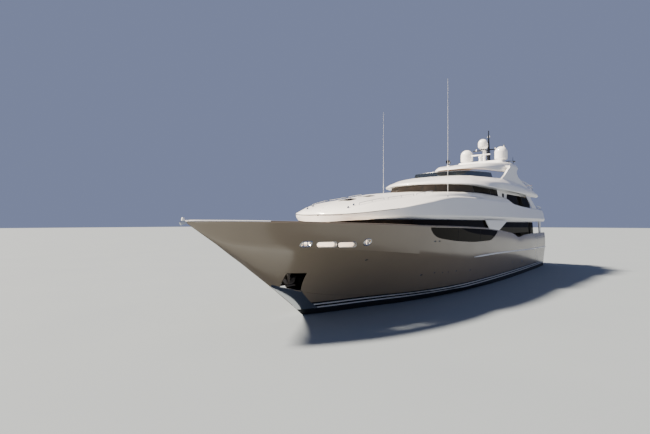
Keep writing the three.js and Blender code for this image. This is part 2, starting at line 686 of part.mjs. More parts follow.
// Anchors in their pockets: flukes and shank
const anchor = join(
  acrossY([[15120, 1640], [14980, 1560], [14480, 1420], [14420, 1700], [14600, 1780], [14960, 1740]],
    POCKET_INNER_Y + GAP, POCKET_INNER_Y + 130),
  acrossY([[14860, 1560], [14640, 1560], [14660, 2030], [14820, 2030]],
    POCKET_INNER_Y + GAP, POCKET_INNER_Y + 90),
);
addPair("anchor", anchor, steel);

// Windlass: two drums and two pairs of bollards on one bed plate
const WINDLASS = { x: 16100, y: 420, plate: 30 };
const windlassParts = [box(15500, 16500, -860, 860, FORE_FLOOR + GAP, FORE_FLOOR + WINDLASS.plate)];
[1, -1].forEach((side) => {
  windlassParts.push(rod([WINDLASS.x, side * WINDLASS.y, FORE_FLOOR + 20],
    [WINDLASS.x, side * WINDLASS.y, FORE_FLOOR + 520], 190, 14));
  [15640, 15900].forEach((x) =>
    windlassParts.push(rod([x, side * 760, FORE_FLOOR + 20], [x, side * 760, FORE_FLOOR + 320], 80, 12)));
});
addPiece("windlass", join(...windlassParts), steel());

// Forward wall of the main-deck house, round the nose, with the window band above it
const NOSE = [
  // x, y, top of the wall
  [9500, 3440, 3750],
  [9750, 3330, 3750],
  [10500, 2980, 3750],
  [11200, 2600, 3790],
  [11750, 2120, 3950],
  [12150, 1560, 4200],
  [12380, 900, SOFFIT_MAIN],
  [12450, 350, SOFFIT_MAIN],
];
const nosePath = [...NOSE, ...NOSE.slice().reverse().map(([x, y, top]) => [x, -y, top])];
const portTopsideCutter = topside(TOPSIDE_THICKNESS + 2 * GAP);
const topsideCutters = [portTopsideCutter, mirroredY(portTopsideCutter)];
addPiece(
  "forward_wall",
  cut(
    wallAlong(nosePath.map(([x, y, top]) => [x, y, FORE_FLOOR + GAP, top]), WALL),
    ...topsideCutters,
    box(STEP_X - 500, STEP_X + 2 * GAP, -4000, 4000, FORE_FLOOR - 100, 5000),
  ),
  whitePaint(),
);
const bandRows = [
  ...NOSE.slice(0, -1).reverse().map(([x, y, top]) =>
    [x, y, Math.min(top + GAP, SOFFIT_MAIN - 60), SOFFIT_MAIN]),
  ...[8800, 8000, 6500, 5000, 2300, 0, -1400].map((x) => {
    const { sheerY, sheerZ } = rowAt(HULL_COLUMNS, HULL, x);
    return [x, sheerY - TOPSIDE_THICKNESS - 40, sheerZ - 80, SOFFIT_MAIN];
  }),
];
const bandBlank = wallAlong(bandRows, GLASS);
addPair(
  "window_band",
  cut(bandBlank, portTopsideCutter,
    wallAlong(nosePath.map(([x, y, top]) => [x, y, FORE_FLOOR, top + GAP]), WALL)),
  darkGlass,
);

// Saloon: side walls, the wings that close the wide forward part, and the aft bulkhead
const saloonRow = (x, y) => [x, y, MAIN_FLOOR + GAP, SOFFIT_MAIN];
const saloonSide = wallAlong(
  [saloonRow(-1500, 3790), saloonRow(-2500, 3560), saloonRow(-3700, SALOON_Y + 60),
    saloonRow(-4200, SALOON_Y), saloonRow(SALOON_AFT_X, SALOON_Y)],
  WALL,
);
const SALOON_WINDOW = { aft: -12400, fore: -4500, low: 2850, high: 4320 };
const SALOON_DOOR_HEIGHT = 2050;
const LOUNGE_DOOR_HEIGHT = 1920;
const doorHole = (x, floor, height) =>
  box(x - 200, x + 200, -DOOR_WIDTH / 2, DOOR_WIDTH / 2, floor - 10, floor + height);
addPiece(
  "saloon",
  cut(
    join(
      saloonSide, mirroredY(saloonSide),
      box(SALOON_AFT_X, SALOON_AFT_X + WALL, -SALOON_Y, SALOON_Y, MAIN_FLOOR + GAP, SOFFIT_MAIN),
    ),
    box(SALOON_WINDOW.aft, SALOON_WINDOW.fore, -4000, 4000, SALOON_WINDOW.low, SALOON_WINDOW.high),
    doorHole(SALOON_AFT_X, MAIN_FLOOR, SALOON_DOOR_HEIGHT),
    ...topsideCutters,
  ),
  whitePaint(),
);
addPair(
  "saloon_window",
  box(SALOON_WINDOW.aft + GAP, SALOON_WINDOW.fore - GAP, SALOON_Y - 50 - GLASS, SALOON_Y - 50,
    SALOON_WINDOW.low + GAP, SALOON_WINDOW.high - GAP),
  darkGlass,
);
// A sliding leaf stands on a narrow shoe that runs along the deck
const LEAF = { lap: 40, head: 50, thick: 45, shoe: 12 };
const slidingLeaf = (x, floor, height) => {
  const half = DOOR_WIDTH / 2 + LEAF.lap;
  const face = x - RUNNING;
  const middle = face - LEAF.thick / 2;
  return join(
    box(face - LEAF.thick, face, -half, half, floor + RUNNING, floor + height + LEAF.head),
    box(middle - LEAF.shoe / 2, middle + LEAF.shoe / 2, -half, half, floor + GAP, floor + 2 * RUNNING),
  );
};
addPiece("saloon_door", slidingLeaf(SALOON_AFT_X, MAIN_FLOOR, SALOON_DOOR_HEIGHT), darkGlass());

// The moulded body of the upper deck: coachroof forward, hollow sides amidships, bulwarks aft
const BODY_UNDERSIDE = SOFFIT_MAIN + GAP;
function bodyHalf(r, x) {
  const outer = [
    [r.bottomY, BODY_UNDERSIDE], [r.wideY, r.wideZ], [r.creaseY, r.creaseZ], [r.upperY, r.upperZ],
    [r.topY, r.topZ],
  ];
  return outer.map(([y, z]) => [x, y, z]);
}
const coachroofBlank = loft(
  COACHROOF.map((row) => {
    const r = named(COACHROOF_COLUMNS, row);
    const half = bodyHalf(r, r.x);
    return [...half, [r.x, 0, r.crownZ], ...mirrorRing(half).reverse()];
  }),
);
// The fore end of the wheelhouse, a recess in the coachroof that the glass stands round
const WHEELHOUSE_PLAN = [
  [-100, 2800], [0, 2800], [300, 2780], [1050, 2660], [1500, 2460], [1850, 2170], [2240, 1760], [2550, 1280],
  [2720, 760], [2760, 330],
];
const wheelhouseRoom = upZ(
  [...WHEELHOUSE_PLAN, ...WHEELHOUSE_PLAN.map(([x, y]) => [x, -y]).reverse()], UPPER_FLOOR, 7000,
);
addPiece("coachroof", cut(coachroofBlank, wheelhouseRoom), whitePaint());
const sideBody = loft(
  SIDE_BODY.map((row, i) => {
    const r = named(SIDE_BODY_COLUMNS, row);
    const x = i === 0 ? r.x - GAP : r.x;
    return [...bodyHalf(r, x), [x, r.innerY, r.topZ], [x, r.innerY, BODY_UNDERSIDE]];
  }),
);
addPair("side_body", sideBody, whitePaint);

// Upper deck between the sides, with a well for the stair from the aft deck on the port side
const STAIR = { inner: 1750, outer: 2500, footX: -17300, run: 240, steps: 11 };
const stairTopX = STAIR.footX + STAIR.run * STAIR.steps;
const upperWell = box(
  STAIR.footX + 700, stairTopX + 60, STAIR.inner - 20, STAIR.outer + 20,
  SOFFIT_MAIN - 100, UPPER_FLOOR + 100,
);
const upperDeckRows = SIDE_BODY.map((row) => {
  const { x, innerY } = named(SIDE_BODY_COLUMNS, row);
  return [x, innerY - GAP];
});
addPiece(
  "upper_deck",
  cut(
    loft(
      upperDeckRows.map(([x, y], i) => {
        const at = i === 0 ? x - GAP : x;
        const [low, high] = [SOFFIT_MAIN + GAP, UPPER_FLOOR];
        return [[at, y, low], [at, y, high], [at, -y, high], [at, -y, low]];
      }),
    ),
    upperWell,
  ),
  whitePaint(),
);

// A flight of solid steps with a sloping underside
function flight(footX, floor, topZ, steps, run, y0, y1) {
  const rise = (topZ - floor) / steps;
  const outline = [[footX, floor]];
  for (let i = 1; i <= steps; i++) {
    outline.push([footX + run * (i - 1), floor + rise * i], [footX + run * i, floor + rise * i]);
  }
  outline.push([footX + run * steps, floor + rise * (steps - 1.6)], [footX + 1.6 * run, floor]);
  return acrossY(outline, y0, y1);
}
addPiece(
  "aft_stair",
  flight(STAIR.footX, MAIN_FLOOR + GAP, UPPER_FLOOR, STAIR.steps, STAIR.run, STAIR.inner, STAIR.outer),
  teak(),
);

// Pillars under the aft overhang of the upper deck
addPair(
  "aft_pillar",
  acrossY(
    [[-17600, MAIN_FLOOR + GAP], [-17300, SOFFIT_MAIN], [-16700, SOFFIT_MAIN], [-17250, MAIN_FLOOR + GAP]],
    3400, 3520,
  ),
  whitePaint,
);

// Sundeck, in four mouldings: the brow over the wheelhouse, the floor with the helm console and
// the two sides with their coamings
const SUNDECK_CEILING = SOFFIT_UPPER + GAP;
function sundeckHalf(row) {
  const r = named(SUNDECK_COLUMNS, row);
  const soffitY = Math.max(0, r.lipY - 380);
  const soffitZ = Math.min(SUNDECK_CEILING, r.floorZ - 20);
  const well = r.floorZ < r.topZ;
  const rimY = Math.max(0, r.topY - (well ? 130 : 60));
  const half = [
    [soffitY, soffitZ], [r.lipY - Math.min(60, r.lipY), r.lipZ], [r.lipY, r.lipZ + 60],
    [0.5 * (r.lipY + r.topY) + 0.08 * r.lipY, 0.5 * (r.lipZ + r.topZ)],
    [r.topY, r.topZ], [rimY, r.topZ], [Math.max(0, rimY - 40), r.floorZ],
  ];
  return half.map(([y, z]) => (r.lipY > 0 ? [r.x, y, z] : [r.x, 0, r.lipZ]));
}
const bothHalves = (half) => [...half, ...mirrorRing(half).reverse()];
const SUN_WELL = { aft: -16300, fore: -14600, inner: -2500, outer: -1700 };
const sundeckBlank = loft(SUNDECK.map((row) => bothHalves(sundeckHalf(row))));
const sundeckWellRows = SUNDECK.filter(([x]) => x <= SUNDECK_STEP.aft);
const sundeckBrow = loft([
  ...SUNDECK.filter(([x]) => x >= SUNDECK_STEP.fore).map((row) => bothHalves(sundeckHalf(row))),
  bothHalves(sundeckHalf(SUNDECK.find(([x]) => x === SUNDECK_STEP.fore))).map(([, y, z]) =>
    [SUNDECK_STEP.aft + GAP, y, z]),
]);
const sundeckSide = loft(sundeckWellRows.map((row) => {
  const half = sundeckHalf(row);
  const [x, footY] = half.at(-1);
  return [[x, footY, SUNDECK_CEILING], ...half];
}));
const sundeckFloor = loft(sundeckWellRows.map((row) => {
  const [x, footY, floorZ] = sundeckHalf(row).at(-1);
  return bothHalves([[x, footY - GAP, SUNDECK_CEILING], [x, footY - GAP, floorZ]]);
}));
// Wheelhouse glass, wrapped round the front of the upper deck and raked aft
const SCREEN = [
  // x, y, foot z (a little below the moulding that it stands on), lean at the head
  [2900, 350, 6150, 400],
  [2860, 800, 6150, 400],
  [2680, 1350, 6150, 390],
  [2350, 1850, 6150, 360],
  [1950, 2280, 6150, 310],
  [1600, 2580, 6160, 270],
  [1100, 2830, 6180, 220],
  [300, 2970, 6230, 170],
  [0, 3000, 6250, 160],
  [-2500, 3090, 6260, 140],
  [-5100, 3110, 6220, 130],
];
const starboardScreen = SCREEN.map(([x, y, foot, lean]) => [x, -y, foot, lean]);
const screenPath = [...SCREEN.slice().reverse(), ...starboardScreen];
const raised = (geometry) => geometry.clone().translate(0, 0, 2 * GAP);
const bodyCutters = [raised(coachroofBlank), raised(sideBody), raised(mirroredY(sideBody))];
addPiece(
  "wheelhouse_glass",
  cut(
    wallAlong(screenPath.map(([x, y, foot, lean]) => [x, y, foot, SOFFIT_UPPER, lean]), GLASS),
    ...bodyCutters,
    sundeckBlank.clone().translate(0, 0, -GAP),
  ),
  darkGlass(),
);

// Lounge: the walls aft of the wheelhouse glass, with the side doors and the aft bulkhead
const SIDE_DOOR = { fore: -6700, width: 700, height: 1900 };
const LOUNGE_WINDOW = { aft: -13700, fore: -8300, low: 5300, high: 6640 };
const loungePost = { x0: LOUNGE_FORE_X - 120, x1: LOUNGE_FORE_X + 60, y: 2955 };
const loungeInner = LOUNGE_Y - WALL;
const loungeHalf = [
  [loungePost.x1, loungeInner], [loungePost.x1, loungePost.y], [loungePost.x0, loungePost.y],
  [loungePost.x0, LOUNGE_Y], [LOUNGE_AFT_X, LOUNGE_Y],
];
const loungePlan = [
  ...loungeHalf, ...loungeHalf.map(([x, y]) => [x, -y]).reverse(),
  [LOUNGE_AFT_X + WALL, -loungeInner], [LOUNGE_AFT_X + WALL, loungeInner],
];
const loungeShoulder = wallAlong(
  [[-5140, 3110, 6290, SOFFIT_UPPER, 130], [-6400, 3060, 6250, SOFFIT_UPPER, 130],
    [LOUNGE_FORE_X, 3040, 6250, SOFFIT_UPPER, 130]],
  WALL,
);
const loungeWing = acrossY(
  [[-13950, 5250], [-15100, 5250], [-14500, SOFFIT_UPPER - 5], [-13950, SOFFIT_UPPER - 5]],
  loungeInner + 5, LOUNGE_Y - 5,
);
addPiece(
  "lounge",
  cut(
    join(
      upZ(loungePlan, UPPER_FLOOR + GAP, SOFFIT_UPPER), loungeShoulder, mirroredY(loungeShoulder),
      loungeWing, mirroredY(loungeWing),
    ),
    box(LOUNGE_WINDOW.aft, LOUNGE_WINDOW.fore, -4000, 4000, LOUNGE_WINDOW.low, LOUNGE_WINDOW.high),
    box(SIDE_DOOR.fore - SIDE_DOOR.width, SIDE_DOOR.fore, -4000, 4000,
      UPPER_FLOOR - 10, UPPER_FLOOR + SIDE_DOOR.height),
    doorHole(LOUNGE_AFT_X, UPPER_FLOOR, LOUNGE_DOOR_HEIGHT),
  ),
  whitePaint(),
);
addPair(
  "lounge_window",
  box(LOUNGE_WINDOW.aft + GAP, LOUNGE_WINDOW.fore - GAP, LOUNGE_Y - 50 - GLASS, LOUNGE_Y - 50,
    LOUNGE_WINDOW.low + GAP, LOUNGE_WINDOW.high - GAP),
  darkGlass,
);
const sideDoorReach = [SIDE_DOOR.fore - SIDE_DOOR.width - 30, SIDE_DOOR.fore + 30];
addPair(
  "side_door",
  join(
    box(...sideDoorReach, LOUNGE_Y + RUNNING, LOUNGE_Y + RUNNING + 40,
      UPPER_FLOOR + RUNNING, UPPER_FLOOR + SIDE_DOOR.height + 40),
    box(...sideDoorReach, LOUNGE_Y + 20, LOUNGE_Y + 20 + LEAF.shoe,
      UPPER_FLOOR + GAP, UPPER_FLOOR + 2 * RUNNING),
  ),
  whitePaint,
);
addPiece("lounge_door", slidingLeaf(LOUNGE_AFT_X, UPPER_FLOOR, LOUNGE_DOOR_HEIGHT), darkGlass());

const HELM = { aft: -2700, fore: -2000, half: 900, top: 7850 };
addPiece("sundeck_brow", sundeckBrow, whitePaint());
addPair("sundeck_side", sundeckSide, whitePaint);
addPiece(
  "sundeck",
  join(
    cut(sundeckFloor, box(SUN_WELL.aft, SUN_WELL.fore, SUN_WELL.inner, SUN_WELL.outer, 6000, 7060)),
    box(HELM.aft, HELM.fore, -HELM.half, HELM.half, SUN_FLOOR - 20, HELM.top),
  ),
  whitePaint(),
);
addPiece(
  "sun_stair",
  flight(-17000, UPPER_FLOOR + GAP, SUN_FLOOR, 9, 260, SUN_WELL.inner + 25, SUN_WELL.outer - 25),
  teak(),
);

// Tinted wind screen on the front of the sundeck's coaming
const WIND_SCREEN = [
  // x, y, z of the coaming that it stands on
  [-950, 300, 7640],
  [-1000, 950, 7640],
  [-1160, 1600, 7630],
  [-1430, 2170, 7640],
  [-2000, 2340, 7655],
  [-3000, 2620, 7680],
  [-4400, 2900, 7705],
];
const starboardWindScreen = WIND_SCREEN.map(([x, y, z]) => [x, -y, z]);
addPiece(
  "sundeck_screen",
  cut(
    wallAlong(
      [...WIND_SCREEN.slice().reverse(), ...starboardWindScreen].map(([x, y, z]) =>
        [x, y, z - 60, z + 390, 120]),
      GLASS,
    ),
    raised(sundeckBrow), raised(sundeckSide), raised(mirroredY(sundeckSide)),
  ),
  darkGlass(),
);

// Hardtop on its arch: a crowned shell with swept legs that stand on the coaming
function hardtopRing(row) {
  const r = named(HARDTOP_COLUMNS, row);
  const inset = (d) => Math.max(0, r.edgeY - d);
  const half = [
    [0, r.soffitZ], [inset(900), r.soffitZ - 20], [inset(200), r.edgeZ + 90], [inset(60), r.edgeZ],
    [r.edgeY, r.edgeZ + 60], [inset(40), (r.edgeZ + r.shoulderZ) / 2], [inset(350), r.shoulderZ],
    [inset(1300), (r.shoulderZ + r.crownZ) / 2], [0, r.crownZ],
  ];
  const port = half.map(([y, z]) => (r.edgeY > 0 ? [r.x, y, z] : [r.x, 0, r.edgeZ]));
  return [...port, ...mirrorRing(port.slice(1, -1)).reverse()];
}
const LEG = [
  // x, z round the side of a leg
  [-6200, 7730], [-7350, 8250], [-8400, 8900], [-10400, 9120], [-11000, 9060], [-10500, 8690],
  [-11000, 8300], [-12000, 8040], [-14200, 7570],
];
const archLeg = acrossY(LEG, 2890, 3040);
const archRoot = box(-10700, -8700, 2350, 2990, 8905, 9095);
const MAST = { x: -12600, armZ: 11250, arm: 1500 };
const PLINTH = { fore: -9900, aft: -13050, half: 2080, foot: 9560, top: 9850, inset: 120 };
const plinth = loft(
  [[PLINTH.foot, 0], [PLINTH.top, PLINTH.inset]].map(([z, inset]) =>
    [[PLINTH.fore, -1], [PLINTH.fore, 1], [PLINTH.aft, 1], [PLINTH.aft, -1]].map(([x, side]) =>
      [x - Math.sign(x - MAST.x) * inset, side * (PLINTH.half - inset), z]),
  ),
);
// A flat pad on the crown carries the searchlight
const LIGHT = { x: -4500, y: -600, z: 8960, pad: 110 };
const lightPad = rod([LIGHT.x, LIGHT.y, LIGHT.z - 180], [LIGHT.x, LIGHT.y, LIGHT.z], LIGHT.pad, 16);
addPiece(
  "hardtop",
  cut(
    join(
      loft(HARDTOP.map(hardtopRing)), archLeg, mirroredY(archLeg), archRoot, mirroredY(archRoot),
      plinth, lightPad,
    ),
    sundeckBlank.clone().translate(0, 0, GAP),
  ),
  whitePaint(),
);

// Radomes: a skirt with a domed top, on low plinths
function radome(radius, height, x, y, z) {
  const crown = height - radius;
  const profile = [
    new THREE.Vector2(0, 0), new THREE.Vector2(0.78 * radius, 0),
    new THREE.Vector2(radius, 0.3 * crown), new THREE.Vector2(radius, crown),
  ];
  for (let i = 1; i < 6; i++) {
    const a = (i * Math.PI) / 12;
    profile.push(new THREE.Vector2(radius * Math.cos(a), crown + radius * Math.sin(a)));
  }
  profile.push(new THREE.Vector2(0, height));
  return plain(new THREE.LatheGeometry(profile, 20)).rotateX(Math.PI / 2).translate(x, y, z);
}
addPair("radome", radome(610, 1350, -11100, 1500, PLINTH.top + GAP), whitePaint);

// Mast with its cross arms, and the platform that carries the middle radome
const MAST_ROWS = [
  // height, half length, half width
  [PLINTH.top + GAP, 260, 170],
  [10600, 230, 150],
  [11400, 180, 110],
  [12400, 90, 60],
  [13000, 45, 45],
];
addPiece(
  "mast",
  join(
    loft(MAST_ROWS.map(([z, a, b]) =>
      [[MAST.x + a, -b, z], [MAST.x + a, b, z], [MAST.x - a, b, z], [MAST.x - a, -b, z]])),
    box(MAST.x - 80, MAST.x + 80, -MAST.arm, MAST.arm, MAST.armZ - 60, MAST.armZ + 20),
    box(MAST.x - 100, -10750, -230, 230, 10980, 11080),
    box(MAST.x - 60, MAST.x + 60, -520, 520, 12000, 12060),
  ),
  blackPaint(),
);
addPiece("middle_radome", radome(480, 1000, -11000, 0, 11080 + GAP), whitePaint());

// Radar: a scanner bar that turns on its pedestal
const RADAR = { x: -10350, z: 10420 };
addPiece(
  "radar_pedestal",
  rod([RADAR.x, 0, PLINTH.top + GAP], [RADAR.x, 0, RADAR.z - 60], 200, 16, 150),
  whitePaint(),
);
addPiece(
  "radar_scanner",
  join(
    box(RADAR.x - 60, RADAR.x + 60, -850, 850, RADAR.z, RADAR.z + 110),
    rod([RADAR.x, 0, RADAR.z - 60 + GAP], [RADAR.x, 0, RADAR.z + 50], 70, 12),
  ),
  whitePaint(),
);

// Searchlight on the front of the hardtop
addPiece(
  "searchlight",
  join(
    rod([LIGHT.x, LIGHT.y, LIGHT.z + GAP], [LIGHT.x, LIGHT.y, LIGHT.z + 200], 80, 12),
    rod([LIGHT.x - 120, LIGHT.y, LIGHT.z + 270], [LIGHT.x + 160, LIGHT.y, LIGHT.z + 270], 150, 14, 170),
  ),
  blackPaint(),
);

// Whip aerials on the shoulders of the upper deck's body
const WHIP_TOP = 12600;
[["port", 4900, 3300, 5760], ["starboard", 1000, -3400, 5950]].forEach(([name, x, y, foot]) => {
  const whip = rod([x, y, foot], [x, y, WHIP_TOP], 30, 8, 12);
  addPiece("whip_" + name, cut(whip, ...bodyCutters), whitePaint());
});

export default group;
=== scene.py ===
# Motor yacht, 39.6 m: metres, +X forward, +Y to port, +Z up, the waterline at z = 0
from math import cos, pi, radians, sin, sqrt

import bmesh
import bpy
import numpy as np
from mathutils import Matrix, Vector


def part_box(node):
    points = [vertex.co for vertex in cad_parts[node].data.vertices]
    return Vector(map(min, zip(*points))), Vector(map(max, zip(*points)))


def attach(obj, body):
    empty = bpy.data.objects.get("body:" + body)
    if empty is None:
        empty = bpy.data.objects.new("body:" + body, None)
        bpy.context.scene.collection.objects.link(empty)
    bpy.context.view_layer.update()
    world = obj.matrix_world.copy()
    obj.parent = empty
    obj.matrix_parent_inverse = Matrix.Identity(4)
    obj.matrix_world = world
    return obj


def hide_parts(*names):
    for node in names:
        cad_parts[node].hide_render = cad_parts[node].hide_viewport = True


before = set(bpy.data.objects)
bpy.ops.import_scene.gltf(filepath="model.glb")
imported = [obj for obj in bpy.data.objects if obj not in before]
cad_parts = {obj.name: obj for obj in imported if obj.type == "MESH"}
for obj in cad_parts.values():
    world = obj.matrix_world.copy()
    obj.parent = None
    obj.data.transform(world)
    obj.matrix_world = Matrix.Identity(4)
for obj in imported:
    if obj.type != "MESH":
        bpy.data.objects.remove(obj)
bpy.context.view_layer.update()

# Hull
# Welded and faired plate with a spray chine low down and a knuckle along the topsides, sprayed in
# warm grey topcoat over black bottom paint, with two white boot stripes just above the waterline.
HULL_COLUMNS = "x keel_z chine_y chine_z flare_y flare_z knuckle_y knuckle_z sheer_y sheer_z"
HULL = [
    (-18.20, -0.70, 3.50, -0.15, 3.64, 0.90, 3.75, 1.85, 3.70, 3.28),
    (-14.70, -1.05, 3.60, -0.13, 3.76, 0.90, 3.86, 1.90, 3.80, 3.28),
    (-10.00, -1.50, 3.65, -0.10, 3.81, 0.93, 3.93, 1.97, 3.90, 3.23),
    (-8.00, -1.75, 3.66, -0.06, 3.82, 0.96, 3.94, 2.01, 3.915, 3.08),
    (-6.50, -1.87, 3.65, -0.03, 3.82, 0.98, 3.945, 2.05, 3.92, 3.37),
    (-4.00, -1.95, 3.62, 0.00, 3.81, 1.00, 3.95, 2.09, 3.93, 3.62),
    (-2.00, -1.98, 3.57, 0.05, 3.79, 1.06, 3.95, 2.12, 3.94, 3.78),
    (0.00, -2.00, 3.50, 0.15, 3.76, 1.15, 3.95, 2.13, 3.96, 3.90),
    (2.30, -2.00, 3.40, 0.26, 3.70, 1.20, 3.93, 2.135, 3.96, 3.97),
    (5.00, -1.98, 3.08, 0.40, 3.48, 1.37, 3.85, 2.38, 3.95, 4.04),
    (8.00, -1.85, 2.38, 0.53, 2.96, 1.55, 3.64, 2.62, 3.85, 4.09),
    (10.00, -1.60, 1.68, 0.64, 2.43, 1.70, 3.38, 2.80, 3.70, 4.13),
    (12.00, -1.05, 1.05, 0.80, 1.85, 1.85, 3.02, 2.98, 3.45, 4.18),
    (13.00, -0.48, 0.76, 0.93, 1.52, 1.98, 2.77, 3.06, 3.23, 4.20),
    (13.71, 0.00, 0.56, 1.06, 1.25, 2.05, 2.56, 3.12, 3.07, 4.215),
    (14.40, 0.54, 0.37, 1.21, 0.98, 2.16, 2.33, 3.16, 2.89, 4.23),
    (15.00, 0.99, 0.20, 1.40, 0.76, 2.28, 2.10, 3.20, 2.69, 4.245),
    (15.81, 1.59, 0.02, 1.64, 0.45, 2.44, 1.73, 3.25, 2.42, 4.265),
    (16.50, 2.08, 0.00, 2.08, 0.24, 2.60, 1.38, 3.29, 2.14, 4.278),
    (17.30, 2.65, 0.00, 2.65, 0.06, 2.90, 0.89, 3.35, 1.78, 4.290),
    (17.90, 3.05, 0.00, 3.05, 0.01, 3.15, 0.48, 3.43, 1.44, 4.300),
    (18.38, 3.39, 0.00, 3.39, 0.00, 3.39, 0.21, 3.56, 1.15, 4.304),
    (19.00, 3.79, 0.00, 3.79, 0.00, 3.79, 0.05, 3.83, 0.74, 4.308),
    (19.60, 4.18, 0.00, 4.18, 0.00, 4.18, 0.00, 4.18, 0.28, 4.310),
    (19.80, 4.31, 0.00, 4.31, 0.00, 4.31, 0.00, 4.31, 0.00, 4.310),
]
BOW_X, TRANSOM_X = 19.80, -18.20
STEP_X = 9.50  # the raised foredeck begins here
MAIN_FLOOR, FORE_FLOOR = 2.20, 3.11
PLATE = 0.12  # bulwark thickness


def monotone(x, y, at):
    """A smooth curve through (x, y) that doesn't swing past its points, read off at the places at."""
    h = np.diff(x)
    d = np.diff(y) / h
    m = np.zeros_like(y)
    m[0], m[-1] = d[0], d[-1]
    for i in range(1, len(x) - 1):
        if d[i - 1] * d[i] > 0:
            w1, w2 = 2 * h[i] + h[i - 1], h[i] + 2 * h[i - 1]
            m[i] = (w1 + w2) / (w1 / d[i - 1] + w2 / d[i])
    k = np.clip(np.searchsorted(x, at) - 1, 0, len(x) - 2)
    t = (np.clip(at, x[0], x[-1]) - x[k]) / h[k]
    return (
        (2 * t**3 - 3 * t**2 + 1) * y[k]
        + (t**3 - 2 * t**2 + t) * h[k] * m[k]
        + (3 * t**2 - 2 * t**3) * y[k + 1]
        + (t**3 - t**2) * h[k] * m[k + 1]
    )


def row_at(columns, table, x, blunt=False):
    """One faired row of a table; blunt keeps a rounded nose, where half widths grow as a square root."""
    rows = np.array(sorted(table), float)
    row = {}
    for i, name in enumerate(columns.split()):
        wide = blunt and name.endswith("_y")
        values = rows[:, i] ** 2 if wide else rows[:, i]
        value = float(monotone(rows[:, 0], values, np.array([x]))[0])
        row[name] = sqrt(max(value, 0)) if wide else value
    return row


def rounded(corners, radii, steps=4):
    """The corners joined by straight runs, each inner corner eased by its radius."""
    corners = [np.array(c, float) for c in corners]
    path = [corners[0]]
    for before, corner, after, radius in zip(corners, corners[1:], corners[2:], radii):
        back, on = before - corner, after - corner
        long_back, long_on = np.linalg.norm(back) + 1e-9, np.linalg.norm(on) + 1e-9
        reach = min(radius, 0.46 * long_back, 0.46 * long_on)
        a, b = corner + back / long_back * reach, corner + on / long_on * reach
        for t in np.linspace(0, 1, steps):
            path.append((1 - t) ** 2 * a + 2 * t * (1 - t) * corner + t * t * b)
    path.append(corners[-1])
    return path


def hull_side(x):
    """Half section at x, from the keel up to the sheer, as (y, z) points."""
    s = row_at(HULL_COLUMNS, HULL, x)
    points = []
    for t in np.linspace(0, 1, 7):
        y = 1.2 * t * (1 - t) * s["chine_y"] + t * t * s["chine_y"]
        z = s["keel_z"] + (0.5 * t * (1 - t) + t * t) * (s["chine_z"] - s["keel_z"])
        points.append((y, z))
    ledge = 0.05 * min(1, s["chine_y"] / 0.6)
    rise = max(s["knuckle_z"] - s["chine_z"], 1e-6)
    middle = min(max((s["flare_z"] - s["chine_z"]) / rise, 0.3), 0.7)
    for t in np.linspace(0, 1, 11):
        y = (
            (s["chine_y"] + ledge) * (t - middle) * (t - 1) / middle
            + s["flare_y"] * t * (t - 1) / (middle * (middle - 1))
            + s["knuckle_y"] * t * (t - middle) / (1 - middle)
        )
        points.append((max(y, 0), s["chine_z"] + 0.01 + t * rise))
    for t in np.linspace(0, 1, 7)[1:]:
        y = s["knuckle_y"] + t * (s["sheer_y"] - s["knuckle_y"])
        bulge = 0.03 * sin(pi * t) * min(1, s["sheer_y"])
        points.append((y + bulge, s["knuckle_z"] + t * (s["sheer_z"] - s["knuckle_z"])))
    return points


def side_y(x, z):
    """Half breadth of the hull's outside at x and height z, above the chine."""
    y, heights = zip(*hull_side(x)[7:])
    return float(np.interp(z, heights, y))


def sheer(x):
    """Height of the bulwark's top at x."""
    return row_at(HULL_COLUMNS, HULL, x)["sheer_z"]


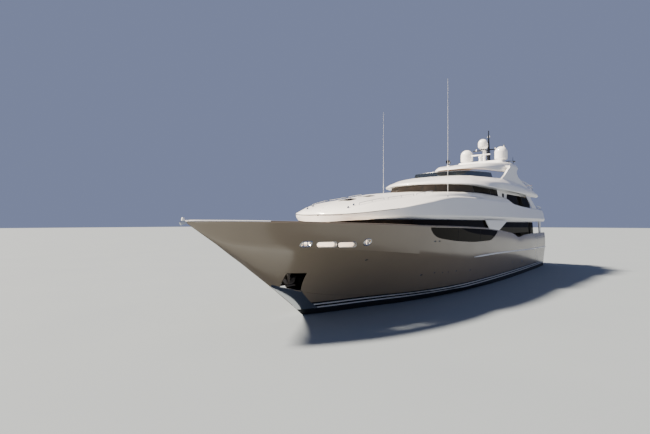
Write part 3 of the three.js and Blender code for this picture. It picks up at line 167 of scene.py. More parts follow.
class Form:
    """The vertices and faces of one piece, gathered shape by shape, each face marked with its finish."""

    def __init__(self):
        self.points, self.faces, self.marks = [], [], []

    def add(self, points, faces, marks=0):
        """Faces over new points, all marked with one finish or each with its own."""
        start = len(self.points)
        self.points.extend(tuple(map(float, p)) for p in points)
        self.faces.extend(tuple(start + i for i in face) for face in faces)
        self.marks.extend([marks] * len(faces) if isinstance(marks, int) else marks)
        return self

    def loft(self, rings, marks=0, ends=True, cap=None):
        """Faces between rings of as many points each; marks may give one finish for each run of the
        ring, and cap the one of both ends."""
        count = len(rings[0])
        faces, each = [], []
        for r in range(len(rings) - 1):
            for k in range(count):
                a, b = r * count + k, r * count + (k + 1) % count
                faces.append((a, b, b + count, a + count))
                each.append(marks if isinstance(marks, int) else marks[k])
        if ends:
            last = (len(rings) - 1) * count
            faces += [tuple(range(count)), tuple(last + k for k in range(count))]
            first = marks if isinstance(marks, int) else marks[0]
            each += [first if cap is None else cap] * 2
        return self.add([p for ring in rings for p in ring], faces, each)

    def tube(self, path, radius, sides=10, marks=0):
        """A round bar along a path; the radius may be a list with one value for each point."""
        path = [Vector(p) for p in path]
        radii = radius if isinstance(radius, (list, tuple)) else [radius] * len(path)
        side, rings = None, []
        for i, point in enumerate(path):
            run = (path[min(i + 1, len(path) - 1)] - path[max(i - 1, 0)]).normalized()
            start = side or (Vector((0, 0, 1)) if abs(run.z) < 0.9 else Vector((1, 0, 0)))
            side = (start - run * start.dot(run)).normalized()
            other = run.cross(side)
            turns = [2 * pi * k / sides for k in range(sides)]
            rings.append([point + (side * cos(a) + other * sin(a)) * radii[i] for a in turns])
        return self.loft(rings, marks)

    def block(self, low, high, marks=0, ease=0.0):
        """A box between two corners, its upright edges cut back by ease."""
        (x0, y0, z0), (x1, y1, z1) = low, high
        plan = [(x0, y0), (x1, y0), (x1, y1), (x0, y1)]
        if ease:
            turn = plan + plan[:2]
            plan = [p for i in range(4) for p in rounded(turn[i : i + 3], [ease], 4)[1:-1]]
        return self.loft([[(x, y, z) for x, y in plan] for z in (z0, z1)], marks)

    def turned(self, profile, centre, sides=32, marks=0, axis="z"):
        """A turned shape: the profile's (radius, height) points swung round an axis."""
        rings = []
        for radius, height in profile:
            ring = []
            for k in range(sides):
                a = 2 * pi * k / sides
                u, v = radius * cos(a), radius * sin(a)
                p = {"z": (u, v, height), "x": (height, u, v), "y": (v, height, u)}[axis]
                ring.append([c + d for c, d in zip(centre, p)])
            rings.append(ring)
        return self.loft(rings, marks)

    def mirrored(self):
        """The same shapes again on the starboard side."""
        count = len(self.points)
        self.points += [(x, -y, z) for x, y, z in self.points]
        self.faces += [tuple(count + i for i in reversed(face)) for face in self.faces]
        self.marks += self.marks
        return self

    def piece(self, name, *finishes, crease=32, bevel=0.0):
        """The finished object: welded, faired, sharp where it turns by more than the crease in degrees."""
        mesh = bpy.data.meshes.new(name)
        mesh.from_pydata(self.points, [], self.faces)
        for finish in finishes:
            mesh.materials.append(finish)
        mesh.polygons.foreach_set("material_index", self.marks)
        shape = bmesh.new()
        shape.from_mesh(mesh)
        bmesh.ops.remove_doubles(shape, verts=shape.verts, dist=1e-5)
        bmesh.ops.dissolve_degenerate(shape, edges=shape.edges, dist=1e-6)
        bmesh.ops.recalc_face_normals(shape, faces=shape.faces)
        if bevel:
            edges = [e for e in shape.edges if e.is_manifold and e.calc_face_angle(0) > radians(crease)]
            bmesh.ops.bevel(shape, geom=edges, offset=bevel, segments=2, affect="EDGES", clamp_overlap=True)
        shape.to_mesh(mesh)
        shape.free()
        mesh.shade_smooth()
        mesh.set_sharp_from_angle(angle=radians(crease))
        made = bpy.data.objects.new(name, mesh)
        bpy.context.collection.objects.link(made)
        return made


def fit(made, slot, *nodes, body="yacht"):
    """The piece moves with its body and stands for the frame's nodes; its slot is not used."""
    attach(made, body)
    if nodes:
        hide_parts(*nodes)
    return made


def both(name):
    """The frame's names of a pair."""
    return [name + "_port", name + "_starboard"]


def cut_out(made, cutter, crease=32):
    """Takes the cutter's shape out of a piece and shades what is left."""
    for finish in made.data.materials:
        cutter.data.materials.append(finish)
    modifier = made.modifiers.new("cut", "BOOLEAN")
    modifier.operation, modifier.solver, modifier.object = "DIFFERENCE", "EXACT", cutter
    bpy.context.view_layer.update()
    cut = bpy.data.meshes.new_from_object(made.evaluated_get(bpy.context.evaluated_depsgraph_get()))
    made.modifiers.clear()
    made.data = cut
    cut.shade_smooth()
    cut.set_sharp_from_angle(angle=radians(crease))
    bpy.data.objects.remove(cutter)
    return made


def srgb(colour):
    """A colour such as #8c8075 as linear values."""
    parts = [int(colour[i : i + 2], 16) / 255 for i in (1, 3, 5)]
    return [p / 12.92 if p <= 0.04045 else ((p + 0.055) / 1.055) ** 2.4 for p in parts] + [1.0]


def node(finish, kind, inputs=None, **settings):
    """Adds a node to a finish, with its settings, its values and what is linked to it."""
    made = finish.node_tree.nodes.new(kind)
    for name, value in settings.items():
        setattr(made, name, value)
    for name, value in (inputs or {}).items():
        if isinstance(value, bpy.types.NodeSocket):
            finish.node_tree.links.new(value, made.inputs[name])
        else:
            made.inputs[name].default_value = value
    return made


def surface(name, colour, **values):
    """A new finish: its base colour, and values of the shader's sockets with _ for each space."""
    finish = bpy.data.materials.new(name)
    finish.use_nodes = True
    shader = finish.node_tree.nodes["Principled BSDF"]
    shader.inputs["Base Color"].default_value = srgb(colour)
    for socket, value in values.items():
        shader.inputs[socket.replace("_", " ")].default_value = value
    return finish, shader


def sprayed_topcoat(name, colour, weathered, wave=0.5):
    """Two-pack polyurethane topcoat: high gloss over filler that is fair to a few tenths of a
    millimetre, so reflections wander over half-metre waves, and salt dulls it in faint patches."""
    finish, shader = surface(name, colour, IOR=1.45, Coat_Weight=0.2, Coat_Roughness=0.04)
    place = node(finish, "ShaderNodeTexCoord").outputs["Object"]
    patches = node(finish, "ShaderNodeTexNoise", {"Vector": place, "Scale": 1 / 1.6, "Detail": 5.0})
    tone = node(finish, "ShaderNodeMix", {"Factor": patches.outputs["Fac"]}, data_type="RGBA")
    tone.inputs["A"].default_value, tone.inputs["B"].default_value = srgb(colour), srgb(weathered)
    gloss = node(
        finish, "ShaderNodeMapRange", {"Value": patches.outputs["Fac"], "To Min": 0.16, "To Max": 0.30}
    )
    waves = node(finish, "ShaderNodeTexNoise", {"Vector": place, "Scale": 1 / wave, "Detail": 1.0})
    bump = node(
        finish, "ShaderNodeBump", {"Height": waves.outputs["Fac"], "Distance": 0.0008, "Strength": 1.0}
    )
    finish.node_tree.links.new(tone.outputs["Result"], shader.inputs["Base Color"])
    finish.node_tree.links.new(gloss.outputs["Result"], shader.inputs["Roughness"])
    finish.node_tree.links.new(bump.outputs["Normal"], shader.inputs["Normal"])
    return finish


warm_grey_topcoat = sprayed_topcoat("warm grey topcoat", "#857968", "#7d7161")
white_topcoat = sprayed_topcoat("white topcoat", "#f6f5f3", "#eeedeb", wave=0.9)
boot_black = sprayed_topcoat("black boot stripe", "#101214", "#181a1c")
boot_white = sprayed_topcoat("white boot stripe", "#e9e9e6", "#dcdcd8")

# Copolymer bottom paint is matt and a little chalky; the roller's stipple is drawn 20 mm coarse, as
# the real one is too fine to show
bottom_paint, shader = surface("rolled bottom paint", "#15181b", IOR=1.45, Roughness=0.75)
place = node(bottom_paint, "ShaderNodeTexCoord").outputs["Object"]
stipple = node(bottom_paint, "ShaderNodeTexNoise", {"Vector": place, "Scale": 1 / 0.02, "Detail": 3.0})
chalk = node(bottom_paint, "ShaderNodeMix", {"Factor": stipple.outputs["Fac"]}, data_type="RGBA")
chalk.inputs["A"].default_value, chalk.inputs["B"].default_value = srgb("#101315"), srgb("#20262a")
bump = node(bottom_paint, "ShaderNodeBump", {"Height": stipple.outputs["Fac"], "Distance": 0.002})
bottom_paint.node_tree.links.new(chalk.outputs["Result"], shader.inputs["Base Color"])
bottom_paint.node_tree.links.new(bump.outputs["Normal"], shader.inputs["Normal"])

# Mirror-polished 316 stainless steel: clean, with a faint directionless polish haze
polished_stainless, shader = surface("polished stainless steel", "#c9cccf", Metallic=1.0, Roughness=0.08)
place = node(polished_stainless, "ShaderNodeTexCoord").outputs["Object"]
haze = node(polished_stainless, "ShaderNodeTexNoise", {"Vector": place, "Scale": 1 / 0.15, "Detail": 4.0})
dull = node(
    polished_stainless, "ShaderNodeMapRange", {"Value": haze.outputs["Fac"], "To Min": 0.05, "To Max": 0.16}
)
polished_stainless.node_tree.links.new(dull.outputs["Result"], shader.inputs["Roughness"])


def mottled(name, colour, dark, light, patch, detail, **values):
    """A finish whose tone wanders between two colours, in patches of a size in metres."""
    finish, shader = surface(name, colour, **values)
    place = node(finish, "ShaderNodeTexCoord").outputs["Object"]
    stain = node(finish, "ShaderNodeTexNoise", {"Vector": place, "Scale": 1 / patch, "Detail": detail})
    tone = node(finish, "ShaderNodeMix", {"Factor": stain.outputs["Fac"]}, data_type="RGBA")
    tone.inputs["A"].default_value, tone.inputs["B"].default_value = srgb(dark), srgb(light)
    finish.node_tree.links.new(tone.outputs["Result"], shader.inputs["Base Color"])
    return finish


# Cast steel of the anchors and the plate of their pockets, stained by mud and chain; the pocket
# plate is darkened further as painted shade, and the fairleads' walls take it too
weathered_steel = mottled(
    "weathered cast steel", "#7d766c", "#584c40", "#99928a", 0.12, 5.0, Metallic=0.8, Roughness=0.5
)
pocket_steel_painted_shade = mottled(
    "pocket plate with painted shade", "#2e302d", "#232522", "#3b3c37", 0.2, 5.0, Metallic=0.5, Roughness=0.45
)


def hull_ring(x):
    """The whole section at x: outside, cap, and the bulwarks' inner faces down to the deck."""
    floor = (MAIN_FLOOR if x <= STEP_X else FORE_FLOOR) - 0.02
    side = hull_side(x)
    top_y, top_z = side[-1]
    floor = min(floor, top_z)
    y, heights = np.array(side[7:]).T
    inner = []
    for z in np.linspace(top_z, min(max(floor, side[0][1] + 0.15), top_z), 13):
        inner.append((max(float(np.interp(z, heights, y)) - PLATE, 0), z))
    side[-1] = (top_y, top_z - min(0.02, top_y))
    cap = [(max(top_y - 0.015, 0), top_z - 0.003), (max(top_y - 0.03, 0), top_z)]
    half = side + cap + inner
    return [(x, y, z) for y, z in half] + [(x, -y, z) for y, z in reversed(half)]


OUTSIDE, INSIDE, SHADED_STEEL, BOTTOM, BLACK, WHITE = range(6)
stations = sorted(
    {*np.arange(TRANSOM_X, 11.0, 0.25), *np.arange(11.0, BOW_X, 0.12), BOW_X, STEP_X, STEP_X + 0.002}
    - {x for x in np.arange(TRANSOM_X, 11.0, 0.25) if abs(x - STEP_X) < 0.05}
)
rings = [hull_ring(x) for x in stations]
outer_runs = len(hull_side(0)) + 1
run_count = len(rings[0])
outer_ends = run_count - 1 - outer_runs
runs = [OUTSIDE if k < outer_runs or k >= outer_ends else INSIDE for k in range(run_count)]
hull = Form().loft(rings, runs).piece(
    "hull_shell", warm_grey_topcoat, white_topcoat, pocket_steel_painted_shade, bottom_paint, boot_black, boot_white
)

# What is cut from the shell: the long windows, the anchor pockets, the mooring openings in the
# bow's bulwarks, the garage and the stairs in the stern's corners
WINDOW_COLUMNS = "x low_z high_z"
WINDOW = [
    (-2.20, 3.64, 3.70), (-1.50, 3.34, 3.745), (-0.40, 3.09, 3.815), (1.90, 3.08, 3.895),
    (4.50, 3.19, 3.965), (6.30, 3.34, 4.00), (7.30, 3.465, 4.015), (7.90, 3.66, 4.025),
    (8.25, 3.94, 4.03),
]
POCKET = [(15.20, 2.10), (14.38, 2.06), (14.30, 1.23), (15.28, 1.50)]
GARAGE = {"half": 1.75, "low": 0.60, "high": 1.95, "fore": -14.50}
STERN_STAIR = {"inner": 2.60, "outer": 3.35, "run": 0.26, "steps": 7, "top": 2.14}
STAIR_RISE = (STERN_STAIR["top"] - GARAGE["low"]) / STERN_STAIR["steps"]
WELL_TOP = 2.5  # the stair's cut is open above the deck


def window_rings(low_in, high_in, outer, inner):
    """Rings of the long window, drawn in at its edges, between two half breadths given at (x, z)."""
    rings = []
    for x in np.linspace(WINDOW[0][0], WINDOW[-1][0], 70):
        row = row_at(WINDOW_COLUMNS, WINDOW, x)
        low, high = row["low_z"] + low_in, row["high_z"] - high_in
        heights = np.linspace(low, max(high, low + 0.002), 5)
        rings.append([(x, outer(x, z), z) for z in heights] + [(x, inner(x, z), z) for z in heights[::-1]])
    return rings


def slot_outline(x, z, length, height, slant=0.0):
    """A long hole with round ends, leaning by slant."""
    points = []
    for k in range(24):
        a = 2 * pi * k / 24
        end = (length - height) / 2 * (1 if cos(a) > 0 else -1)
        u, v = end + cos(a) * height / 2, sin(a) * height / 2
        points.append((x + u + slant * v, z + v))
    return points


ROUND_HOLE = 0.5  # shorter ones are fairleads, longer ones are open slots
MOORING_HOLES = [
    # x, z, length, height, slant
    (15.60, 3.41, 0.40, 0.19, 0.0),
    (14.74, 3.37, 0.84, 0.20, 0.5),
    (13.80, 3.34, 0.86, 0.20, 0.5),
    (12.80, 3.42, 0.34, 0.24, 0.0),
]
cutter = Form()
for side in (1, -1):
    opening = window_rings(0, 0, lambda x, z: 4.4, lambda x, z: side_y(x, z) - 0.09)
    cutter.loft([[(x, side * y, z) for x, y, z in ring] for ring in opening], INSIDE)
    # The pockets' walls take the pocket plate, dark as painted shade
    cutter.loft([[(x, side * y, z) for x, z in POCKET] for y in (0.09, 1.6)], SHADED_STEEL)
    for x, z, length, height, slant in MOORING_HOLES:
        outline = slot_outline(x, z, length, height, slant)
        reach = side_y(x, z)
        # The fairleads' walls take the pocket plate, dark as painted shade inside them; open slots stay
        # white
        walls = SHADED_STEEL if length < ROUND_HOLE else INSIDE
        cutter.loft([[(u, side * y, v) for u, v in outline] for y in (reach - 0.6, reach + 0.5)], walls)
    plan = [(TRANSOM_X - 0.1, WELL_TOP)]
    for i in range(STERN_STAIR["steps"] - 1, -1, -1):
        x = TRANSOM_X + STERN_STAIR["run"] * (i + 1)
        head = GARAGE["low"] + STAIR_RISE * (i + 1) if i < STERN_STAIR["steps"] - 1 else WELL_TOP
        plan += [(x, head), (x, GARAGE["low"] + STAIR_RISE * i)]
    plan += [(TRANSOM_X - 0.1, GARAGE["low"])]
    sides = (STERN_STAIR["inner"], STERN_STAIR["outer"])
    cutter.loft([[(x, side * y, z) for x, z in plan] for y in sides], INSIDE)
garage_low = (TRANSOM_X - 0.1, -GARAGE["half"], GARAGE["low"])
cutter.block(garage_low, (GARAGE["fore"], GARAGE["half"], GARAGE["high"]), INSIDE)
cut_out(hull, cutter.piece("hull_cutter"))

# The boot stripes and the bottom paint, masked off at fixed heights above the waterline
BOOT_LEVELS = [(0.30, BOTTOM), (0.37, WHITE), (0.46, BLACK), (0.52, WHITE), (0.60, BLACK)]
shell = bmesh.new()
shell.from_mesh(hull.data)
for level, _ in BOOT_LEVELS:
    everything = shell.verts[:] + shell.edges[:] + shell.faces[:]
    bmesh.ops.bisect_plane(shell, geom=everything, plane_co=(0, 0, level), plane_no=(0, 0, 1), dist=1e-5)
for face in shell.faces:
    middle = face.calc_center_median()
    if face.material_index == OUTSIDE:
        for level, mark in BOOT_LEVELS:
            if middle.z < level:
                face.material_index = mark
                break
shell.to_mesh(hull.data)
shell.free()
hull.data.shade_smooth()
hull.data.set_sharp_from_angle(angle=radians(24))
fit(hull, "hull_paint", "hull", *both("topside"))

# Cap rail
# A rounded aluminium moulding welded along the top of the bulwarks and sprayed with the topsides;
# round the bow it is drawn white, a painted reflection of the sky in it there.
# Forward of this the cap is drawn white, as a painted reflection
BOW_SHEEN_X = 17.3
cap_rail = Form()
for ends, mark in (((TRANSOM_X, BOW_SHEEN_X), 0), ((BOW_SHEEN_X, 19.68), 1)):
    cap_path = []
    for x in np.linspace(*ends, 120 if mark == 0 else 30):
        cap_path.append((x, max(hull_side(x)[-1][0] - PLATE / 2, 0.02), sheer(x) + 0.012))
    cap_rail.tube(cap_path, 0.03 + 0.005 * mark, 8, mark)
fit(cap_rail.mirrored().piece("cap_rail", warm_grey_topcoat, white_topcoat), "hull_paint")

# Rub rail
# A half-round bar along the knuckle, from amidships to the stern, which takes the knocks for the
# topsides: a steel section welded on and sprayed white.
rub_rail = Form()
rub_path = []
for x in np.linspace(TRANSOM_X + 0.02, 2.4, 90):
    z = row_at(HULL_COLUMNS, HULL, x)["knuckle_z"] + 0.02
    rub_path.append((x, side_y(x, z) + 0.005, z))
rub_rail.tube(rub_path, [0.055] * 84 + [0.05, 0.045, 0.038, 0.03, 0.02, 0.008], 10).mirrored()
fit(rub_rail.piece("rub_rail", white_topcoat), "gloss_white")

# Hull windows
# Long dark panes of laminated glass for the main-deck cabins, curved with the topsides, bonded just
# inside their outer face and parted by narrow joints of black sealant.
def tinted_glass(name, colour, clear, roughness=0.02):
    """Laminated glass with a dark interlayer: black from outside, very slightly wavy from its
    toughening. Its mirror is held back, as the pale surround gives it nothing dark to mirror."""
    finish, shader = surface(
        name, colour, IOR=1.45, Roughness=roughness, Transmission_Weight=clear, Specular_IOR_Level=0.0,
        Coat_Weight=0.14, Coat_Roughness=0.02,
    )
    place = node(finish, "ShaderNodeTexCoord").outputs["Object"]
    waves = node(finish, "ShaderNodeTexNoise", {"Vector": place, "Scale": 1 / 0.7, "Detail": 1.0})
    bump = node(
        finish, "ShaderNodeBump", {"Height": waves.outputs["Fac"], "Distance": 0.0015, "Strength": 1.0}
    )
    finish.node_tree.links.new(bump.outputs["Normal"], shader.inputs["Normal"])
    return finish


privacy_glass = tinted_glass("dark privacy glass", "#15110d", 0.0)
bronze_glass = tinted_glass("bronze tinted glass over blinds", "#48423d", 0.0, 0.08)
grey_glass = tinted_glass("grey tinted glass", "#59646b", 0.92)


def fine_grained(name, colour, grain, depth, **values):
    """A moulded or sprayed finish of one colour with a fine raised grain, sizes in metres."""
    finish, shader = surface(name, colour, **values)
    place = node(finish, "ShaderNodeTexCoord").outputs["Object"]
    grains = node(finish, "ShaderNodeTexNoise", {"Vector": place, "Scale": 1 / grain, "Detail": 2.0})
    bump = node(finish, "ShaderNodeBump", {"Height": grains.outputs["Fac"], "Distance": depth})
    finish.node_tree.links.new(bump.outputs["Normal"], shader.inputs["Normal"])
    return finish


# Black neoprene and sealant round glass, matt with a soft sheen; its grain is drawn 30 mm coarse, as
# the real one is too fine to show. The same black stands as painted shade in the hull outlets' bores
# and along the crease round the coachroof's nose
black_gasket_and_shade = fine_grained("black neoprene gasket and painted shade", "#141516", 0.03, 0.0006, IOR=1.5, Roughness=0.55)

panes = Form()
panes.loft(window_rings(0.004, 0.004, lambda x, z: side_y(x, z) - 0.02, lambda x, z: side_y(x, z) - 0.05))
fit(panes.mirrored().piece("hull_windows", privacy_glass), "tinted_glass", *both("hull_window"))
window_joints = Form()
for x in (1.35, 4.9):
    row = row_at(WINDOW_COLUMNS, WINDOW, x)
    path = [(x, side_y(x, z) - 0.018, z) for z in np.linspace(row["low_z"], row["high_z"], 8)]
    window_joints.tube(path, 0.012, 6)
fit(window_joints.mirrored().piece("hull_window_joints", black_gasket_and_shade), "tinted_glass")

# Mooring openings and overboard fittings
# Polished stainless collars welded round each opening, rollers in the fairleads, and small flush
# outlets along the topsides.
collars = Form()
for x, z, length, height, slant in MOORING_HOLES:
    outline = slot_outline(x, z, length + 0.03, height + 0.03, slant)
    path = [(u, side_y(u, v) + 0.004, v) for u, v in outline]
    collars.tube(path + path[:2], 0.03 if length < ROUND_HOLE else 0.016, 8)
for x, z in ((15.52, 3.41), (15.68, 3.41), (12.73, 3.42), (12.87, 3.42)):
    y = side_y(x, z) - 0.05
    roller = [(x, y, z + rise) for rise in (-0.12, -0.03, 0.03, 0.12)]
    collars.tube(roller, [0.035, 0.025, 0.025, 0.035], 12)
OUTLETS = [
    # x, z, half length, half height
    (12.12, 2.57, 0.07, 0.035), (7.68, 3.30, 0.11, 0.035), (7.22, 3.29, 0.11, 0.035),
    (7.68, 1.49, 0.10, 0.045), (6.62, 1.53, 0.07, 0.04), (5.84, 1.48, 0.05, 0.04),
    (5.26, 1.46, 0.05, 0.04), (4.36, 1.45, 0.08, 0.04), (2.52, 1.35, 0.10, 0.04),
    (-6.3, 1.20, 0.09, 0.05), (-9.1, 1.10, 0.16, 0.09), (-14.6, 1.10, 0.07, 0.045),
]
outlets = Form()
for x, z, half_length, half_height in OUTLETS:
    rim, hole = [], []
    for k in range(20):
        a = 2 * pi * k / 20
        u, v = cos(a) * half_length, sin(a) * half_height
        rim.append((x + 1.10 * u, side_y(x + u, z + v) + 0.002, z + 1.14 * v))
        hole.append((x + u, side_y(x + u, z + v) + 0.010, z + v))
    # Each outlet's bore is a black dish: painted shade in the opening
    bore_shade = [(u, y - 0.004, v) for u, y, v in hole]
    outlets.loft([rim, hole], 0, ends=False)
    outlets.add(bore_shade, [tuple(range(20))], 1)
fit(collars.mirrored().piece("mooring_collars", polished_stainless), "polished_steel")
fit(outlets.mirrored().piece("hull_outlets", polished_stainless, black_gasket_and_shade), "polished_steel")

# Anchors
# Cast steel anchors housed in plated pockets, with a polished plate on the stem below them that
# takes the knocks of anchor and chain.
anchors = Form()
pocket_y = 0.10
shank = rounded([(14.82, 2.03), (14.74, 1.80), (14.72, 1.50)], [0.1], 4)
shank_rings = []
for x, z in shank:
    back = [(x - 0.05, pocket_y, z), (x + 0.05, pocket_y, z)]
    shank_rings.append(back + [(u, y + 0.09, w) for u, y, w in back[::-1]])
anchors.loft(shank_rings)
FLUKE = [
    # x, its spread to either side, z
    (14.72, 0.0, 1.50), (14.72, 0.30, 1.60), (14.76, 0.44, 1.84), (14.75, 0.22, 1.80), (14.74, 0.13, 1.66),
]
for side in (1, -1):
    fluke = [(x + side * spread, z) for x, spread, z in FLUKE]
    anchors.loft([[(x, y, z) for x, z in fluke] for y in (pocket_y, pocket_y + 0.07)])
anchors.tube([(14.44, pocket_y + 0.10, 1.49), (15.00, pocket_y + 0.10, 1.50)], 0.05, 12)
pin = [(0.0, -0.02), (0.09, -0.02), (0.11, 0.02), (0.09, 0.06), (0.0, 0.06)]
anchors.turned(pin, (14.80, pocket_y + 0.06, 1.98), 20, axis="y")
fit(anchors.mirrored().piece("anchors", weathered_steel, bevel=0.008), "polished_steel", *both("anchor"))

STEM_PLATE = [
    # x, lower z on the stem, upper z on the side
    (13.20, 0.31, 0.33), (13.60, 0.30, 0.60), (13.94, 0.30, 0.90), (14.14, 0.36, 1.10), (14.30, 0.48, 1.25),
    (14.60, 0.71, 1.31), (15.00, 1.01, 1.41), (15.30, 1.23, 1.50), (15.70, 1.53, 1.62),
]
plate = Form()
plate_rings = []
for x in np.linspace(STEM_PLATE[0][0], STEM_PLATE[-1][0], 40):
    row = row_at("x low_z high_z", STEM_PLATE, x)
    y, z = np.array(hull_side(x)).T
    heights = np.linspace(max(row["low_z"], z[0] + 0.004), max(row["high_z"], z[0] + 0.01), 10)
    outer = [(x, float(np.interp(h, z, y)) + 0.007, h) for h in heights]
    inner = [(x, max(p[1] - 0.02, 0), p[2]) for p in outer]
    plate_rings.append(outer + inner[::-1])
plate.loft(plate_rings)
fit(plate.mirrored().piece("stem_plate", polished_stainless), "polished_steel")

# Main deck, foredeck and bathing platform
# Solid teak planks laid fore and aft over the deck plate, caulked in black, inside a wide margin
# plank that follows the bulwark.
def laid_teak(name, plank, caulk):
    """Teak planks of a real width in metres: open straight grain, weathered silver in part, each
    plank of its own tone, with black caulking between them."""
    finish, shader = surface(name, "#a9845c", IOR=1.45, Roughness=0.62)
    place = node(finish, "ShaderNodeTexCoord").outputs["Object"]
    split = node(finish, "ShaderNodeSeparateXYZ", {"Vector": place})
    across = node(finish, "ShaderNodeMath", {0: split.outputs["Y"], 1: plank}, operation="DIVIDE")
    number = node(finish, "ShaderNodeMath", {0: across.outputs[0]}, operation="FLOOR")
    within = node(finish, "ShaderNodeMath", {0: across.outputs[0]}, operation="FRACT")
    tone = node(finish, "ShaderNodeTexWhiteNoise", {"W": number.outputs[0]}, noise_dimensions="1D")
    stretched = node(finish, "ShaderNodeVectorMath", {0: place, 1: (0.06, 1.0, 1.0)}, operation="MULTIPLY")
    values = {"Vector": stretched.outputs[0], "Scale": 1 / (plank * 0.12), "Detail": 4.0}
    grain = node(finish, "ShaderNodeTexNoise", values)
    values = {0: tone.outputs["Value"], 1: grain.outputs["Fac"]}
    blend = node(finish, "ShaderNodeMath", values, operation="ADD")
    level = node(finish, "ShaderNodeMath", {0: blend.outputs[0], 1: 0.5}, operation="MULTIPLY")
    ramp = node(finish, "ShaderNodeValToRGB", {"Fac": level.outputs[0]})
    for stop, position, colour in zip(ramp.color_ramp.elements, (0.25, 0.75), ("#96714a", "#c3a27b")):
        stop.position, stop.color = position, srgb(colour)
    seam = node(finish, "ShaderNodeMath", {0: within.outputs[0], 1: caulk / plank}, operation="LESS_THAN")
    wood = node(finish, "ShaderNodeMix", {"Factor": seam.outputs[0]}, data_type="RGBA")
    wood.inputs["B"].default_value = srgb("#1b1a19")
    finish.node_tree.links.new(ramp.outputs["Color"], wood.inputs["A"])
    bump = node(finish, "ShaderNodeBump", {"Height": grain.outputs["Fac"], "Distance": 0.0012})
    finish.node_tree.links.new(wood.outputs["Result"], shader.inputs["Base Color"])
    finish.node_tree.links.new(bump.outputs["Normal"], shader.inputs["Normal"])
    return finish


# Real planks are 50 mm with 5 mm of caulking, too fine for a view of the whole yacht: drawn three
# times as wide
deck_teak = laid_teak("laid teak decking", 0.15, 0.018)
margin_teak = laid_teak("teak margin plank", 2.5, 0.0)


def deck(x0, x1, z, edge, margin=0.18, thick=0.02):
    """A laid deck between two places, out to the half breadth that edge gives, with its margin plank."""
    form, rings = Form(), []
    for x in np.linspace(x0, x1, max(4, int(abs(x1 - x0) / 0.25))):
        y = max(edge(x), 0.03)
        within = max(y - margin, 0.01)
        top = [(x, y, z), (x, within, z), (x, -within, z), (x, -y, z)]
        rings.append(top + [(x, -y, z - thick), (x, y, z - thick)])
    return form.loft(rings, [1, 0, 1, 2, 2, 2], cap=2)


main_deck = deck(TRANSOM_X + 0.01, STEP_X, MAIN_FLOOR, lambda x: side_y(x, MAIN_FLOOR) - PLATE + 0.01)
main_deck = main_deck.piece("main_deck_planks", deck_teak, margin_teak, margin_teak)
wells = Form()
for side in (1, -1):
    inner, outer = sorted((side * STERN_STAIR["inner"], side * STERN_STAIR["outer"]))
    end = TRANSOM_X + STERN_STAIR["run"] * STERN_STAIR["steps"]
    wells.block((TRANSOM_X - 0.1, inner, MAIN_FLOOR - 0.5), (end, outer, MAIN_FLOOR + 0.5), 1)
fit(cut_out(main_deck, wells.piece("well_cutter")), "teak", "main_deck")
foredeck = deck(STEP_X + 0.01, 17.6, FORE_FLOOR, lambda x: side_y(x, FORE_FLOOR) - PLATE + 0.01)
fit(foredeck.piece("foredeck_planks", deck_teak, margin_teak, margin_teak), "teak", "foredeck")

PLATFORM = {"aft": -19.80, "low": 0.42, "high": 0.59, "half": 3.43}
platform_half = [(PLATFORM["aft"], 2.0), (-19.5, PLATFORM["half"]), (TRANSOM_X, PLATFORM["half"])]
platform_plan = [(x, -y) for x, y in platform_half[::-1]] + platform_half
platform_plan = rounded(platform_plan, [0.5, 0.9, 0.9, 0.5], 8)
inset = [(min(x + 0.10, TRANSOM_X - 0.02), y * 0.965) for x, y in platform_plan]
platform = Form()
for plan, low, high, mark in (
    (platform_plan, PLATFORM["low"], PLATFORM["high"] - 0.012, 0),
    (inset, PLATFORM["high"] - 0.02, PLATFORM["high"], 1),
):
    platform.loft([[(x, y, z) for x, y in plan] for z in (low, high)], mark)
fit(platform.piece("bathing_platform", warm_grey_topcoat, deck_teak, bevel=0.015), "teak", "swim_platform")

stern_treads = Form()
for i in range(STERN_STAIR["steps"] - 1):
    x, z = TRANSOM_X + STERN_STAIR["run"] * (i + 1), GARAGE["low"] + STAIR_RISE * (i + 1)
    fore = (x + STERN_STAIR["run"] - 0.01, STERN_STAIR["outer"] - 0.04, z + 0.015)
    stern_treads.block((x + 0.01, STERN_STAIR["inner"] + 0.04, z), fore)
fit(stern_treads.mirrored().piece("stern_stair_treads", deck_teak), "teak")

# Foredeck gear
# A flush hatch on a low coaming, two vertical windlasses with their chains, bollards on one bed
# plate, and a light bracket at the stem head. All polished stainless apart from the white hatch.
HATCH = {"x": 14.30, "reach": 0.48, "coaming": 0.45, "low": 3.236, "high": 3.296}
HINGE_X, HINGES_Y, HINGE_RADIUS = HATCH["x"] + HATCH["reach"], (-0.25, 0.25), 0.022


def square(form, reach, low, high, mark, ease):
    """A square slab round the hatch's middle."""
    form.block((HATCH["x"] - reach, -reach, low), (HATCH["x"] + reach, reach, high), mark, ease)


def barrel(form, near, far, mark):
    """A length of the hinges' barrel."""
    form.tube([(HINGE_X, near, HATCH["low"]), (HINGE_X, far, HATCH["low"])], HINGE_RADIUS, 16, mark)


coaming, lid = Form(), Form()
square(coaming, HATCH["coaming"], FORE_FLOOR - 0.01, HATCH["low"] - 0.006, 0, 0.06)
square(lid, HATCH["reach"], HATCH["low"], HATCH["high"] - 0.008, 0, 0.08)
square(lid, 0.40, HATCH["high"] - 0.02, HATCH["high"], 1, 0.06)
for y in HINGES_Y:
    for side in (-1, 1):
        near, far = sorted((y + side * 0.0503, y + side * 0.15))
        barrel(coaming, near, far, 1)
        low = (HATCH["x"] + 0.44, near, FORE_FLOOR)
        coaming.block(low, (HINGE_X + 0.015, far, HATCH["low"] - 0.005), 1)
    barrel(lid, y - 0.05, y + 0.05, 2)
fit(coaming.piece("hatch_coaming", white_topcoat, polished_stainless), "gloss_white")
lid = lid.piece("hatch_lid", white_topcoat, privacy_glass, polished_stainless)
fit(lid, "gloss_white", "foredeck_hatch", body="foredeck_hatch")

